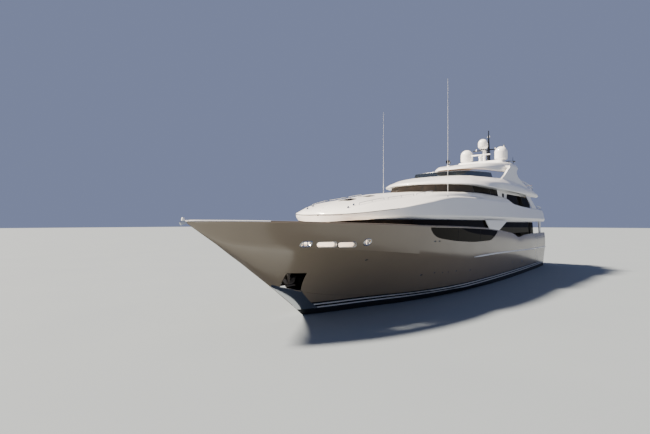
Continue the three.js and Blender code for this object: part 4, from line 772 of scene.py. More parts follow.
gear = Form()
gear.block((15.50, -0.86, FORE_FLOOR), (16.50, 0.86, FORE_FLOOR + 0.03), 0, 0.12)
CAPSTAN = [
    # radius, height
    (0.0, 0.0), (0.24, 0.0), (0.24, 0.05), (0.20, 0.07), (0.19, 0.20), (0.15, 0.24), (0.14, 0.34),
    (0.17, 0.42), (0.19, 0.46), (0.19, 0.50), (0.15, 0.52), (0.0, 0.52),
]
BOLLARD = [
    (0.0, 0.0), (0.11, 0.0), (0.08, 0.05), (0.07, 0.16), (0.075, 0.26), (0.10, 0.28), (0.10, 0.31),
    (0.05, 0.33), (0.0, 0.33),
]
for y in (-0.42, 0.42):
    gear.turned(CAPSTAN, (16.1, y, FORE_FLOOR + 0.02), 28)
    for k in range(9):
        a = pi / 4 if k % 2 else -pi / 4
        x, middle_y, middle_z = 16.36 + 0.085 * k, y * (1 - 0.045 * k), FORE_FLOOR + 0.07
        link = []
        for t in np.linspace(0, 2 * pi, 11):
            lift = 0.03 * sin(t)
            link.append((x + 0.06 * cos(t), middle_y + lift * cos(a), middle_z + lift * sin(a)))
        gear.tube(link, 0.012, 6)
for y in (-0.76, 0.76):
    for x in (15.64, 15.90):
        gear.turned(BOLLARD, (x, y, FORE_FLOOR + 0.02), 20)
fit(gear.piece("windlass_and_bollards", polished_stainless), "polished_steel", "windlass")
bracket = [(19.62, 4.33), (19.92, 4.33), (19.97, 4.27), (19.92, 4.17), (19.72, 4.23)]
lamp_base = [(0.0, 0.0), (0.055, 0.0), (0.06, 0.03), (0.05, 0.09), (0.03, 0.12), (0.0, 0.12)]
stem_head = Form().loft([[(x, y, z) for x, z in bracket] for y in (-0.045, 0.045)])
stem_head.turned(lamp_base, (19.84, 0, 4.328), 20, 1)
fit(stem_head.piece("stem_head_fitting", polished_stainless, white_topcoat, bevel=0.008), "polished_steel")

# Main-deck house, forward part
# The owner's cabin front wraps round under the upper moulding: a low painted wall and, above it,
# one continuous band of bonded black glass that runs aft along both sides.
NOSE = [
    # x, y, top of the wall
    (9.50, 3.44, 3.75), (9.75, 3.33, 3.75), (10.50, 2.98, 3.75), (11.20, 2.60, 3.79), (11.75, 2.12, 3.95),
    (12.15, 1.56, 4.10), (12.38, 0.90, 4.24), (12.45, 0.35, 4.345),
]
UNDERSIDE = 4.41  # of the upper moulding


def nose_path(inset=0.0):
    """Plan of the cabin front from starboard round to port, with the wall's height at each place."""
    places = []
    for x, y, top in rounded([np.array(p, float) for p in NOSE], [0.5] * 6, 5):
        square_on = 0.25 + 0.75 * (NOSE[0][1] - y) / NOSE[0][1]  # the inset turns forward with the wall
        places.append((x - inset * square_on, max(y - inset, 0.02), top))
    places.append((NOSE[-1][0] + 0.01 - inset, 0.0, NOSE[-1][2]))
    return [(x, -y, top) for x, y, top in places] + [(x, y, top) for x, y, top in places[-2::-1]]


front = Form()
outer, inner = nose_path(), nose_path(0.12)
front_rings = []
for (x, y, top), (u, v, _) in zip(outer, inner):
    front_rings.append([(x, y, FORE_FLOOR - 0.01), (x, y, top), (u, v, top), (u, v, FORE_FLOOR - 0.01)])
front.loft(front_rings)
for side in (1, -1):
    near, far = sorted((side * 3.36, side * 3.48))
    front.block((9.42, near, FORE_FLOOR - 0.01), (9.60, far, NOSE[0][2]))
fit(front.piece("cabin_front_wall", white_topcoat), "gloss_white", "forward_wall")

band = Form()
outer, inner = nose_path(0.02), nose_path(0.045)
band_top = UNDERSIDE + 0.02
band_rings, side_panes = [], []
for (x, y, top), (u, v, _) in zip(outer, inner):
    band_rings.append([(x, y, top + 0.004), (x, y, band_top), (u, v, band_top), (u, v, top + 0.004)])
band.loft(band_rings)
for x in np.linspace(9.52, -0.20, 54):
    y = side_y(x, sheer(x)) - 0.16 - 0.14 * max(0, (x - 5.5) / 4) ** 1.5
    low = max(sheer(x) - 0.08, 3.76)
    slant = 0.8 if x < -0.19 else 0.0  # the after end leans forward
    pane = [(x - slant, y, low), (x, y, band_top)]
    side_panes.append(pane + [(u, v - 0.025, z) for u, v, z in pane[::-1]])
band.loft(side_panes)
band.loft([[(x, -y, z) for x, y, z in ring] for ring in side_panes])
fit(band.piece("window_band", privacy_glass), "tinted_glass", *both("window_band"))

# Main-deck house, after part
# Sprayed aluminium walls with long panes of black laminated glass, bonded on over them with
# rounded corners and a raked after end; glazed doors slide aside on the after decks.
def refinish(finish, *names):
    """Pieces of the frame whose shape is right keep it and take their real finish."""
    for name in names:
        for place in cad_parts[name].material_slots:
            place.material = finish


def ring_of(corners, radius, steps=6):
    """A closed outline with each corner eased by the radius."""
    turn = list(corners) + list(corners[:2])
    return [p for i in range(len(corners)) for p in rounded(turn[i : i + 3], [radius], steps)[1:-1]]


refinish(white_topcoat, "saloon", "lounge", *both("aft_pillar"))
SALOON_PANE = [(-16.75, 2.88), (-4.85, 2.88), (-4.60, 3.40), (-4.60, 4.32), (-16.30, 4.32)]
LOUNGE_PANE = [(-16.30, 5.20), (-8.26, 5.20), (-8.26, 6.66), (-15.45, 6.66)]
for name, outline, face, joints, foot in (
    ("saloon_window", SALOON_PANE, 3.003, (-7.2, -9.8, -12.4, -14.6), MAIN_FLOOR),
    ("lounge_window", LOUNGE_PANE, 2.853, (-10.1, -11.9, -13.8), 4.75),
):
    glass = Form()
    loop = ring_of(outline, 0.20)
    glass.loft([[(x, y, z) for x, z in loop] for y in (face - 0.001, face + 0.014)])
    low, high = min(z for _, z in loop), max(z for _, z in loop)
    for x in joints:
        glass.block((x - 0.007, face + 0.012, low + 0.01), (x + 0.007, face + 0.0155, high - 0.01), 1)
    glass.tube([(x, face + 0.004, z) for x, z in loop + loop[:2]], 0.012, 6, 1)
    fit(glass.mirrored().piece(name + "s", privacy_glass, black_gasket_and_shade), "tinted_glass", *both(name))

# Weather screens
# Aft of the houses the same glass runs on as a wind break, held by rails at its sill and head, a
# slim raked post and short uprights, all of aluminium sprayed white.
screens = Form()
for x0, x1, y, low, high in ((-16.30, -12.90, 2.965, MAIN_FLOOR, 4.40), (-15.45, -14.0, 2.82, 4.76, 6.77)):
    sill = 2.88 if y > 2.9 else 5.20
    screens.block((x0 - 0.42, y - 0.02, sill - 0.06), (x1, y + 0.025, sill + 0.01))
    screens.block((x0, y - 0.02, high - 0.13), (x1, y + 0.025, high))
    post = []
    for shift, z in ((0.42 + 0.2 * (sill - low) / (high - sill), low), (-0.02, high)):
        edge = [(x0 - shift - 0.04, y - 0.02, z), (x0 - shift + 0.04, y - 0.02, z)]
        post.append(edge + [(u, y + 0.025, z) for u, _, z in edge[::-1]])
    screens.loft(post)
    for x in np.arange(x1 - 0.9, x0 - 0.3, -1.1):
        screens.block((x - 0.025, y - 0.02, low), (x + 0.025, y + 0.02, sill))
fit(screens.mirrored().piece("weather_screen_frames", white_topcoat, bevel=0.006), "gloss_white")

# Side wings
# White aluminium plates: one in line with the topsides closes the step to the open side deck, and
# one that stands on the upper bulwark, raked the other way, carries the sundeck's overhang.
WING = [(0.25, 4.44), (-0.60, 3.84), (-2.49, 3.68), (-3.30, 3.93), (-4.85, 4.44)]
wing = Form()
rings = []
for x, z in ring_of(WING, 0.10):
    y = min(side_y(x, min(z, sheer(x))) - 0.03, 3.93)
    rings.append((x, y, z))
wing.loft([rings, [(x, y - 0.06, z) for x, y, z in rings]])
PILLAR_TOP, PILLAR_FOOT, PILLAR_WIDTH = (-12.65, 3.28, 6.80), (-14.45, 3.47, 5.50), 1.20
rings = []
for lean, waist in ((0.0, 0.0), (0.5, 0.10), (1.0, 0.0)):
    x, y, z = [a + (b - a) * lean for a, b in zip(PILLAR_TOP, PILLAR_FOOT)]
    aft_x = x - PILLAR_WIDTH - 0.55 * lean + waist
    rings.append([(x, y, z), (aft_x, y, z), (aft_x, y - 0.07, z), (x, y - 0.07, z)])
wing.loft(rings)
fit(wing.mirrored().piece("side_wings", white_topcoat, bevel=0.008), "gloss_white")


def upright(a0, a1, low, high):
    """Corners of an upright pane, as places along the door's opening and heights."""
    return [(a0, low), (a1, low), (a1, high), (a0, high)]


SHOE, SIDE_LEAF = 0.045, 0.04  # height of the shoe, thickness of a side door's leaf


def framed_leaf(node_name, low_in, frame_finish, slot, rim=0.09):
    """A sliding leaf in the box of its solid: a frame round a pane, and a shoe on the track."""
    low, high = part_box(node_name)
    turned = high.y - low.y > 0.5  # slides across the yacht
    along, across = (1, 0) if turned else (0, 1)
    a0, a1 = low[along], high[along]
    near, far = low[across], high[across]
    if not turned and far > 0:
        near = far - SIDE_LEAF
    elif not turned:
        far = near + SIDE_LEAF
    outer = ring_of(upright(a0, a1, low.z + SHOE, high.z), 0.01)
    inner = ring_of(upright(a0 + rim, a1 - rim, low.z + low_in, high.z - rim), 0.05)
    pane = upright(a0 + rim / 2, a1 - rim / 2, low.z + low_in - 0.02, high.z - rim / 2)
    thin, middle = (far - near) * 0.3, 0.5 * (near + far)
    edge = [(middle - 0.006, low.z), (middle + 0.006, low.z)]
    edge += [(b, z + SHOE) for b, z in edge[::-1]]
    frame_rings = []
    for (a, z), (c, w) in zip(outer + outer[:1], inner + inner[:1]):
        frame_rings.append([(a, near, z), (c, near, w), (c, far, w), (a, far, z)])
    leaf = Form().loft(frame_rings, 0, ends=False)
    leaf.loft([[(a, b, z) for a, z in pane] for b in (near + thin, far - thin)], 1)
    leaf.loft([[(a, b, z) for b, z in edge] for a in (a0, a1)], 2)
    if turned:
        leaf.points = [(b, a, z) for a, b, z in leaf.points]
    leaf = leaf.piece(node_name + "_leaf", frame_finish, privacy_glass, polished_stainless, bevel=0.003)
    fit(leaf, slot, node_name, body=node_name)


framed_leaf("saloon_door", 0.16, polished_stainless, "tinted_glass")
framed_leaf("lounge_door", 0.16, polished_stainless, "tinted_glass")
for name in both("side_door"):
    framed_leaf(name, 0.95, white_topcoat, "gloss_white", 0.05)

# Upper moulding
# One long glass-fibre moulding, faired and sprayed white: the coachroof, the walls below the bridge
# windows and the upper deck's bulwarks. Its crease is crisp at the nose and eases out amidships.
MOULDING_COLUMNS = "x bottom_y wide_y wide_z crease_y crease_z upper_y upper_z top_y top_z crown"
MOULDING = [
    (12.60, 0.00, 0.00, 4.600, 0.00, 4.660, 0.00, 4.665, 0.00, 4.670, 4.670),
    (12.57, 0.24, 0.36, 4.590, 0.40, 4.660, 0.30, 4.690, 0.00, 4.740, 4.740),
    (12.45, 0.90, 1.03, 4.580, 1.06, 4.670, 0.80, 4.760, 0.00, 4.850, 4.850),
    (12.15, 1.65, 1.79, 4.570, 1.82, 4.710, 1.35, 4.870, 0.00, 5.000, 5.000),
    (11.70, 2.15, 2.30, 4.560, 2.31, 4.770, 1.70, 5.000, 0.00, 5.160, 5.160),
    (11.00, 2.56, 2.72, 4.570, 2.70, 4.860, 1.95, 5.170, 0.00, 5.330, 5.330),
    (10.00, 2.95, 3.12, 4.590, 3.09, 4.980, 2.20, 5.350, 0.00, 5.530, 5.530),
    (9.00, 3.25, 3.41, 4.610, 3.35, 5.140, 2.45, 5.480, 0.00, 5.690, 5.690),
    (8.00, 3.46, 3.60, 4.630, 3.49, 5.290, 2.65, 5.610, 0.00, 5.820, 5.820),
    (7.00, 3.59, 3.71, 4.640, 3.56, 5.430, 2.85, 5.740, 0.60, 5.940, 5.955),
    (6.10, 3.66, 3.78, 4.650, 3.59, 5.550, 2.96, 5.860, 1.50, 6.040, 6.075),
    (5.00, 3.70, 3.83, 4.650, 3.60, 5.650, 3.05, 5.980, 2.50, 6.070, 6.160),
    (4.00, 3.72, 3.86, 4.650, 3.61, 5.720, 3.13, 6.020, 2.85, 6.130, 6.250),
    (2.50, 3.74, 3.89, 4.650, 3.625, 5.775, 3.19, 6.090, 3.00, 6.200, 6.350),
    (0.00, 3.75, 3.92, 4.650, 3.65, 5.810, 3.28, 6.190, 3.10, 6.300, 6.400),
    (-1.50, 3.75, 3.93, 4.650, 3.67, 5.820, 3.32, 6.210, 3.15, 6.320, 6.400),
    (-5.00, 3.75, 3.93, 4.650, 3.68, 5.820, 3.40, 6.170, 3.20, 6.280, 6.400),
    (-6.40, 3.74, 3.92, 4.650, 3.67, 5.810, 3.44, 6.120, 3.23, 6.240, 6.400),
    (-7.40, 3.73, 3.91, 4.640, 3.68, 5.750, 3.60, 5.805, 3.53, 5.820, 6.400),
    (-12.50, 3.70, 3.87, 4.630, 3.65, 5.540, 3.59, 5.600, 3.52, 5.620, 6.400),
    (-18.00, 3.60, 3.76, 4.600, 3.56, 5.430, 3.50, 5.485, 3.43, 5.500, 6.400),
    (-18.40, 3.56, 3.64, 4.580, 3.48, 5.300, 3.45, 5.360, 3.40, 5.380, 6.400),
]
INNER = [
    # x, half breadth of the side's inner face
    (-18.40, 3.31), (-18.00, 3.31), (-12.50, 3.40), (-7.40, 3.40), (-6.40, 2.95), (-5.00, 2.90),
    (-1.50, 2.85), (0.00, 2.80),
]
MOULDING_JOINT_X, AFTER_DECK_X, UPPER_FLOOR = 0.0, -6.0, 4.75
NOSE_SLOPE_X = 11.2  # ahead of this the underside dips


def moulding_half(x):
    """Half section of the moulding's outside at x, from its underside to its top."""
    s = row_at(MOULDING_COLUMNS, MOULDING, x, blunt=True)
    closed = x > AFTER_DECK_X  # a wall or roof here, and an open bulwark aft of it
    soft = 0.03 + 0.35 * min(max((9.5 - x) / 8.0, 0), 1) if closed else 0.12
    size = min(1.0, s["wide_y"] / 1.5)
    swell = float(np.interp(x, (-0.8, 1.4, 4.8, 7.2), (0, 1, 1, 0)))  # of the ridge inside the crease
    crease, upper = (s["crease_y"], s["crease_z"]), (s["upper_y"] - 0.05 * swell, s["upper_z"])
    raised, sunk = (crease[0] - 0.11, crease[1] + 0.11), (crease[0] - 0.34, crease[1] + 0.09)
    between = []
    for share, wanted in ((0.3, raised), (0.6, sunk)):
        pairs = zip(crease, upper, wanted)
        between.append([(1 - swell) * (a + share * (b - a)) + swell * c for a, b, c in pairs])
    underside = UNDERSIDE - 0.09 * max(0, (x - NOSE_SLOPE_X) / 1.3) ** 3
    corners = [(s["bottom_y"], underside), (s["wide_y"], s["wide_z"]), crease, *between, upper]
    corners.append((s["top_y"], s["top_z"]))
    radii = [0.10, soft * (1 - 0.75 * swell), 0.35 - 0.2 * swell, 0.3 - 0.18 * swell]
    radii += [0.35, 0.3] if closed else [0.05, 0.02]
    if x >= MOULDING_JOINT_X:
        corners.append((0.0, s["crown"]))
        radii.append(0.6)
    return rounded(corners, [r * size for r in radii], 7)


def inner_y(x):
    """Half breadth of the inner face of the moulding's sides at x."""
    return float(monotone(*np.array(sorted(INNER)).T, np.array([x]))[0])


moulding_rings = []
nose = [12.60 - 1.2 * (1 - cos(t)) for t in np.linspace(0, pi / 2, 16)]
for x in nose + list(np.linspace(11.2, MOULDING_JOINT_X, 58)):
    half = moulding_half(x)
    moulding_rings.append([(x, y, z) for y, z in half] + [(x, -y, z) for y, z in reversed(half)])
coachroof = Form().loft(moulding_rings).piece("coachroof_moulding", white_topcoat, crease=24)
# A black tube along the crease round the nose: a painted shadow line under the overhang of the moulding's
# upper part
nose_shadow_path = []
for x in nose[:-1] + list(np.linspace(11.3, 10.1, 7)):
    s = row_at(MOULDING_COLUMNS, MOULDING, x, blunt=True)
    nose_shadow_path.append((x, s["crease_y"] - 0.003, s["crease_z"] - 0.012))
nose_shadow = Form().tube([(x, -y, z) for x, y, z in nose_shadow_path[:0:-1]] + nose_shadow_path, 0.016, 6)
fit(nose_shadow.piece("nose_shadow_line", black_gasket_and_shade), "gloss_white")
WHEELHOUSE_PLAN = [
    # x, y of the room that is open under the wheelhouse windows
    (-0.10, 2.80), (0.30, 2.78), (1.05, 2.66), (1.50, 2.46), (1.85, 2.17), (2.24, 1.76), (2.55, 1.28),
    (2.72, 0.76), (2.76, 0.33),
]
plan = WHEELHOUSE_PLAN + [(x, -y) for x, y in reversed(WHEELHOUSE_PLAN)]
room = Form().loft([[(x, y, z) for x, y in plan] for z in (UPPER_FLOOR, 7.0)])
fit(cut_out(coachroof, room.piece("room_cutter"), 24), "gloss_white", "coachroof")
side_rings = []
for x in sorted({*np.arange(-18.4, MOULDING_JOINT_X, 0.2), -6.9, MOULDING_JOINT_X}):
    half = moulding_half(min(x, MOULDING_JOINT_X - 0.001))
    inward = min(inner_y(x), half[-1][0] - 0.05)
    side_rings.append([(x, y, z) for y, z in half] + [(x, inward, half[-1][1]), (x, inward, UNDERSIDE)])
upper_sides = Form().loft(side_rings).mirrored().piece("upper_sides", white_topcoat, crease=24)
fit(upper_sides, "gloss_white", *both("side_body"))
upper_planks = deck(-18.38, MOULDING_JOINT_X, UPPER_FLOOR, lambda x: inner_y(x) - 0.002, thick=0.338)
upper_planks = upper_planks.piece("upper_deck_planks", deck_teak, margin_teak, white_topcoat)
wells = Form().block((-16.60, 1.73, 4.2), (-14.60, 2.52, 5.0), 2)
fit(cut_out(upper_planks, wells.piece("well_cutter")), "teak", "upper_deck")

# Wheelhouse and upper saloon windows
# One raked band of curved toughened panes, bonded edge to edge with black sealant over slim
# mullions, that wraps round the wheelhouse front and both sides.
SCREEN = [
    # x, y, foot, lean of the head
    (2.90, 0.35, 6.15, 0.40), (2.86, 0.80, 6.15, 0.40), (2.68, 1.35, 6.15, 0.39), (2.35, 1.85, 6.15, 0.36),
    (1.95, 2.28, 6.15, 0.31), (1.60, 2.58, 6.16, 0.27), (1.10, 2.83, 6.18, 0.22), (0.30, 2.97, 6.23, 0.17),
    (0.00, 3.00, 6.25, 0.16), (-2.50, 3.09, 6.26, 0.14), (-5.10, 3.11, 6.22, 0.13),
]
SCREEN_HEAD = 6.785


def glass_wall(table, head, ease, proud=0.0):
    """Feet and heads of a raked glass wall that follows a plan from port aft round to starboard aft."""
    half = [np.array(p, float) for p in reversed(table)]
    half.append(np.array([table[0][0] + 0.015, 0.0, table[0][2], table[0][3]]))
    places = rounded(half, [ease] * (len(half) - 2), 5)
    path = [tuple(p) for p in places] + [(p[0], -p[1], p[2], p[3]) for p in places[-2::-1]]
    feet, heads = [], []
    for i, (x, y, foot, lean) in enumerate(path):
        before, after = path[max(i - 1, 0)], path[min(i + 1, len(path) - 1)]
        run = Vector((after[0] - before[0], after[1] - before[1], 0)).normalized()
        out = Vector((-run.y, run.x, 0))
        if out.x + out.y * (1 if y > 0 else -1) < 0:
            out = -out
        top = head if isinstance(head, float) else foot + head[0]
        feet.append(Vector((x, y, foot)) + out * proud)
        heads.append(Vector((x, y, top)) - out * (lean - proud))
    return feet, heads


def wall_loft(form, feet, heads, thick, marks=0, low=0.0, high=1.0):
    """A pane of even thickness between the feet and heads, from the share low of its height to high."""
    rings = []
    for i, (foot, head) in enumerate(zip(feet, heads)):
        before, after = feet[max(i - 1, 0)], feet[min(i + 1, len(feet) - 1)]
        run = (after - before).normalized()
        out = Vector((-run.y, run.x, 0))
        a, b = foot.lerp(head, low), foot.lerp(head, high)
        rings.append([a, b, b + out * thick, a + out * thick])
    form.loft(rings, marks)


BRIDGE_MULLIONS = [0.62, 1.58, 4.85, 8.10]  # distance from the centreline along the feet
MULLION_HALF, FRONT_REACH = 0.045, 4.9  # the front panes are clearer, out to this distance
feet, heads = glass_wall(SCREEN, SCREEN_HEAD, 0.4)
run = np.cumsum([0.0] + [(b - a).length for a, b in zip(feet, feet[1:])])
run -= run[-1] / 2
front = [k for k, distance in enumerate(run) if abs(distance) < FRONT_REACH]
aft_parts = (slice(0, front[0] + 1), slice(front[-1], None))
bridge_glass = Form()
for part, mark in ((slice(front[0], front[-1] + 1), 1), (aft_parts[0], 0), (aft_parts[1], 0)):
    wall_loft(bridge_glass, feet[part], heads[part], 0.03, mark)
fit(bridge_glass.piece("bridge_windows", privacy_glass, bronze_glass), "tinted_glass", "wheelhouse_glass")
feet, heads = glass_wall(SCREEN, SCREEN_HEAD, 0.4, proud=0.036)
mullions = Form()
for distance in [side * d for side in (1, -1) for d in BRIDGE_MULLIONS]:
    mullion_rings = []
    for line in (feet, heads):
        ends = []
        for at in (distance - MULLION_HALF, distance + MULLION_HALF):
            ends.append(Vector([float(np.interp(at, run, [p[k] for p in line])) for k in range(3)]))
        mullion_rings.append(ends)
    foot = mullion_rings[0][0]
    inward = Vector((-foot.x, -foot.y, 0)).normalized() * 0.012
    mullions.loft([[a, b, b + inward, a + inward] for a, b in mullion_rings])
fit(mullions.piece("bridge_mullions", black_gasket_and_shade), "tinted_glass")

# Sundeck
# A white moulding whose visor hangs over the wheelhouse windows and runs aft as the sundeck's
# sides; behind the wind screen its well is laid with teak.
SUNDECK_COLUMNS = "x lip_y lip_z top_y top_z floor"
SUNDECK = [
    (3.15, 0.00, 6.78, 0.00, 6.84, 6.84), (3.08, 0.75, 6.78, 0.40, 6.91, 6.93),
    (2.84, 1.54, 6.78, 0.90, 6.97, 7.00), (2.50, 1.99, 6.78, 1.25, 7.04, 7.09),
    (2.10, 2.40, 6.78, 1.55, 7.11, 7.18), (1.64, 2.80, 6.78, 1.80, 7.20, 7.29),
    (1.14, 3.12, 6.78, 1.95, 7.30, 7.40), (0.27, 3.42, 6.78, 2.05, 7.45, 7.55),
    (-0.45, 3.50, 6.78, 2.05, 7.57, 7.62), (-1.44, 3.55, 6.78, 2.25, 7.64, 7.65),
    (-2.50, 3.57, 6.78, 2.55, 7.67, 7.65), (-3.60, 3.58, 6.78, 2.84, 7.69, 7.65),
    (-5.00, 3.585, 6.78, 3.06, 7.72, 7.65), (-7.20, 3.57, 6.78, 3.07, 7.79, 7.65),
    (-10.00, 3.52, 6.78, 3.08, 7.72, 7.60), (-14.50, 3.42, 6.74, 3.06, 7.52, 7.40),
    (-16.20, 3.38, 6.70, 3.08, 7.30, 7.20), (-16.50, 3.36, 6.71, 3.12, 7.00, 6.95),
]
WELL_FORE, WELL_FLOOR, CEILING = -1.45, 6.95, 6.79


def sundeck_half(x):
    """Half section of the sundeck moulding at x: soffit, lip, side and rim, then its floor."""
    s = row_at(SUNDECK_COLUMNS, SUNDECK, x, blunt=True)
    size = min(1.0, s["lip_y"] / 1.2)
    well = x < WELL_FORE
    floor = min(WELL_FLOOR, s["top_z"] - 0.02) if well else s["floor"]
    under = (max(s["lip_y"] - 0.38, 0), min(CEILING, s["floor"] - 0.02))
    middle = (0.5 * (s["lip_y"] + s["top_y"]) + 0.08 * s["lip_y"], 0.5 * (s["lip_z"] + s["top_z"]))
    corners = [
        under,
        (max(s["lip_y"] - 0.06 * size, 0), s["lip_z"]),
        (s["lip_y"], s["lip_z"] + 0.05 * size),
        middle,
        (s["top_y"], s["top_z"]),
    ]
    if well:
        rim = max(s["top_y"] - 0.13 * size, 0)
        corners += [(rim, s["top_z"]), (max(rim - 0.04, 0), floor)]
        radii = [0.02, 0.03, 0.5, 0.06, 0.05]
    else:
        rim, rise = max(s["top_y"] - 0.35 * size, 0), floor - s["top_z"]
        corners += [(rim, s["top_z"] + 0.4 * rise), (max(rim - 0.5, 0), s["top_z"] + 0.8 * rise)]
        radii = [0.02, 0.03, 0.5, 0.3, 0.4]
    return rounded(corners, [r * size for r in radii], 6) + [(0, floor)]


visor = [3.15 - 0.8 * (1 - cos(t)) for t in np.linspace(0, pi / 2, 14)]
brow_places = visor + list(np.linspace(2.2, WELL_FORE + 0.002, 22))
well_places = [WELL_FORE - 0.002] + list(np.linspace(-1.7, -16.3, 74)) + [-16.4, -16.5]
sundeck = Form()
for places, marks in ((brow_places, None), (well_places, 1)):
    sundeck_rings = []
    for x in places:
        half = sundeck_half(x)
        sundeck_rings.append([(x, y, z) for y, z in half] + [(x, -y, z) for y, z in reversed(half[:-1])])
    inner_run = len(half) - 2
    floor_runs = [1 if marks and k in (inner_run, inner_run + 1) else 0 for k in range(2 * len(half) - 1)]
    sundeck.loft(sundeck_rings, floor_runs)
sundeck = sundeck.piece("sundeck_moulding", white_topcoat, deck_teak, crease=24)
wells = Form().block((-16.30, -2.50, 6.60), (-14.60, -1.70, 7.60), 0)
sundeck = cut_out(sundeck, wells.piece("well_cutter"), 24)
fit(sundeck, "gloss_white", "sundeck", "sundeck_brow", *both("sundeck_side"))
CONSOLE = [(-2.00, WELL_FLOOR), (-1.96, 7.50), (-2.12, 7.84), (-2.62, 7.70), (-2.70, WELL_FLOOR)]
console = Form()
console.loft([[(x, y, z) for x, z in ring_of(CONSOLE, 0.08, 5)] for y in (-0.90, 0.90)], 0)
for y in (-0.45, 0.0, 0.45):
    screen = [(-2.20, 7.832), (-2.56, 7.726), (-2.56, 7.700), (-2.20, 7.806)]
    console.loft([[(x, u, z) for x, z in screen] for u in (y - 0.19, y + 0.19)], 1)


def wheel_rim(t):
    """A point of the raked steering wheel's rim."""
    return (-2.74 - 0.10 * sin(t), 0.45 + 0.20 * cos(t), 7.52 + 0.18 * sin(t))


console.tube([wheel_rim(t) for t in np.linspace(0, 2 * pi, 25)], 0.014, 8, 2)
for t in (0.5, 2.6, 4.7):
    console.tube([(-2.70, 0.45, 7.50), wheel_rim(t)], 0.009, 6, 2)
console = console.piece("sundeck_console", white_topcoat, privacy_glass, polished_stainless, bevel=0.012)
fit(console, "gloss_white")

# Wind screen
# Grey tinted acrylic, bent round the sundeck's fore end and set into its coaming, with a slim
# polished tube along its top edge.
WIND_SCREEN = [
    (-0.95, 0.30, 7.64, 0.12), (-1.00, 0.95, 7.64, 0.12), (-1.16, 1.60, 7.63, 0.12),
    (-1.43, 2.17, 7.64, 0.12), (-2.00, 2.34, 7.655, 0.12), (-3.00, 2.62, 7.68, 0.12),
    (-4.40, 2.90, 7.705, 0.12),
]
feet, heads = glass_wall(WIND_SCREEN, (0.385,), 0.45)
wind_screen = Form()
wall_loft(wind_screen, feet, heads, 0.015, 0, -0.12, 1.0)
wind_screen.tube(heads, 0.018, 8, 1)
fit(wind_screen.piece("wind_screen", grey_glass, polished_stainless), "tinted_glass", "sundeck_screen")

# Hardtop
# A glass-fibre roof over the sundeck on two raked wing legs, with a thin rounded edge and a
# warm beige underside.
HARDTOP_COLUMNS = "x edge_y edge_z shoulder_z crown_z soffit_z"
HARDTOP = [
    (-3.40, 0.00, 8.45, 8.46, 8.47, 8.44), (-3.52, 0.62, 8.45, 8.52, 8.56, 8.46),
    (-3.95, 1.25, 8.45, 8.68, 8.74, 8.56), (-4.65, 1.80, 8.45, 8.85, 8.92, 8.73),
    (-5.50, 2.23, 8.45, 9.00, 9.06, 8.89), (-7.00, 2.54, 8.46, 9.22, 9.29, 9.10),
    (-8.50, 2.70, 8.52, 9.40, 9.49, 9.27), (-10.00, 2.76, 8.70, 9.56, 9.68, 9.42),
    (-11.50, 2.74, 8.90, 9.68, 9.80, 9.54), (-12.70, 2.60, 9.15, 9.70, 9.82, 9.54),
]


def hardtop_half(x):
    """Half section of the roof at x, from the middle of its underside round the edge to its crown."""
    s = row_at(HARDTOP_COLUMNS, HARDTOP, x, blunt=True)
    e, size = s["edge_y"], min(1.0, s["edge_y"] / 1.5)
    corners = [
        (max(e - 0.9 * size, 0), s["soffit_z"] - 0.02),
        (max(e - 0.2 * size, 0), s["edge_z"] + 0.09 * size),
        (max(e - 0.06 * size, 0), s["edge_z"]),
        (e, s["edge_z"] + 0.06 * size),
        (max(e - 0.04 * size, 0), 0.5 * (s["edge_z"] + s["shoulder_z"])),
        (max(e - 0.35 * size, 0), s["shoulder_z"]),
        (max(e - 1.3 * size, 0), 0.5 * (s["shoulder_z"] + s["crown_z"])),
        (0, s["crown_z"]),
    ]
    return [(0, s["soffit_z"])] + rounded(corners, [r * size for r in (0.3, 0.04, 0.04, 0.2, 0.5, 0.8)], 6)


# Beige underside of the hardtop, matt with a fine grain drawn coarser than life
beige_underside, shader = surface("beige hardtop underside", "#b39a80", IOR=1.5, Roughness=0.6)
place = node(beige_underside, "ShaderNodeTexCoord").outputs["Object"]
pebbles = node(beige_underside, "ShaderNodeTexVoronoi", {"Vector": place, "Scale": 1 / 0.02})
bump = node(beige_underside, "ShaderNodeBump", {"Height": pebbles.outputs["Distance"], "Distance": 0.001})
beige_underside.node_tree.links.new(bump.outputs["Normal"], shader.inputs["Normal"])

roof_rings = []
front_edge = [-3.40 - 0.9 * (1 - cos(t)) for t in np.linspace(0, pi / 2, 14)]
for x in front_edge + list(np.linspace(-4.45, -12.7, 34)):
    half = hardtop_half(x)
    roof_rings.append([(x, y, z) for y, z in half] + [(x, -y, z) for y, z in reversed(half[1:-1])])
runs = len(roof_rings[0])
underside_runs = [1 if k < 7 or k >= runs - 7 else 0 for k in range(runs)]
hardtop = Form().loft(roof_rings, underside_runs, cap=0)
LEG_START = (-10.50, 7.50)  # in the middle of the leg's foot
LEG = [
    # x, z of the wing leg's outline, side on
    (-6.20, 7.73), (-7.35, 8.25), (-8.40, 8.90), (-10.40, 9.12), (-11.00, 9.06), (-10.50, 8.69),
    (-11.00, 8.30), (-12.00, 8.04), (-14.20, 7.57),
]
LEG_RADII = [0.02, 0.6, 0.5, 0.4, 0.15, 0.4, 0.5, 0.8, 0.02]
leg_outline = rounded([LEG_START] + LEG + [LEG_START], LEG_RADII, 6)[1:-1]
for side in (1, -1):
    hardtop.loft([[(x, side * y, z) for x, z in leg_outline] for y in (2.89, 3.04)])
    near, far = sorted((side * 2.35, side * 2.99))
    hardtop.block((-10.7, near, 8.905), (-8.7, far, 9.095))
PLINTH = [(-9.90, -2.08), (-9.90, 2.08), (-13.05, 2.08), (-13.05, -2.08)]
plan = ring_of(PLINTH, 0.35)
plinth_rings = []
for z, inset in ((9.56, 0.0), (9.80, 0.08), (9.84, 0.11), (9.85, 0.16)):
    plinth_rings.append([(x - inset * (1 if x > -11.5 else -1), y * (1 - inset / 2.1), z) for x, y in plan])
hardtop.loft(plinth_rings)
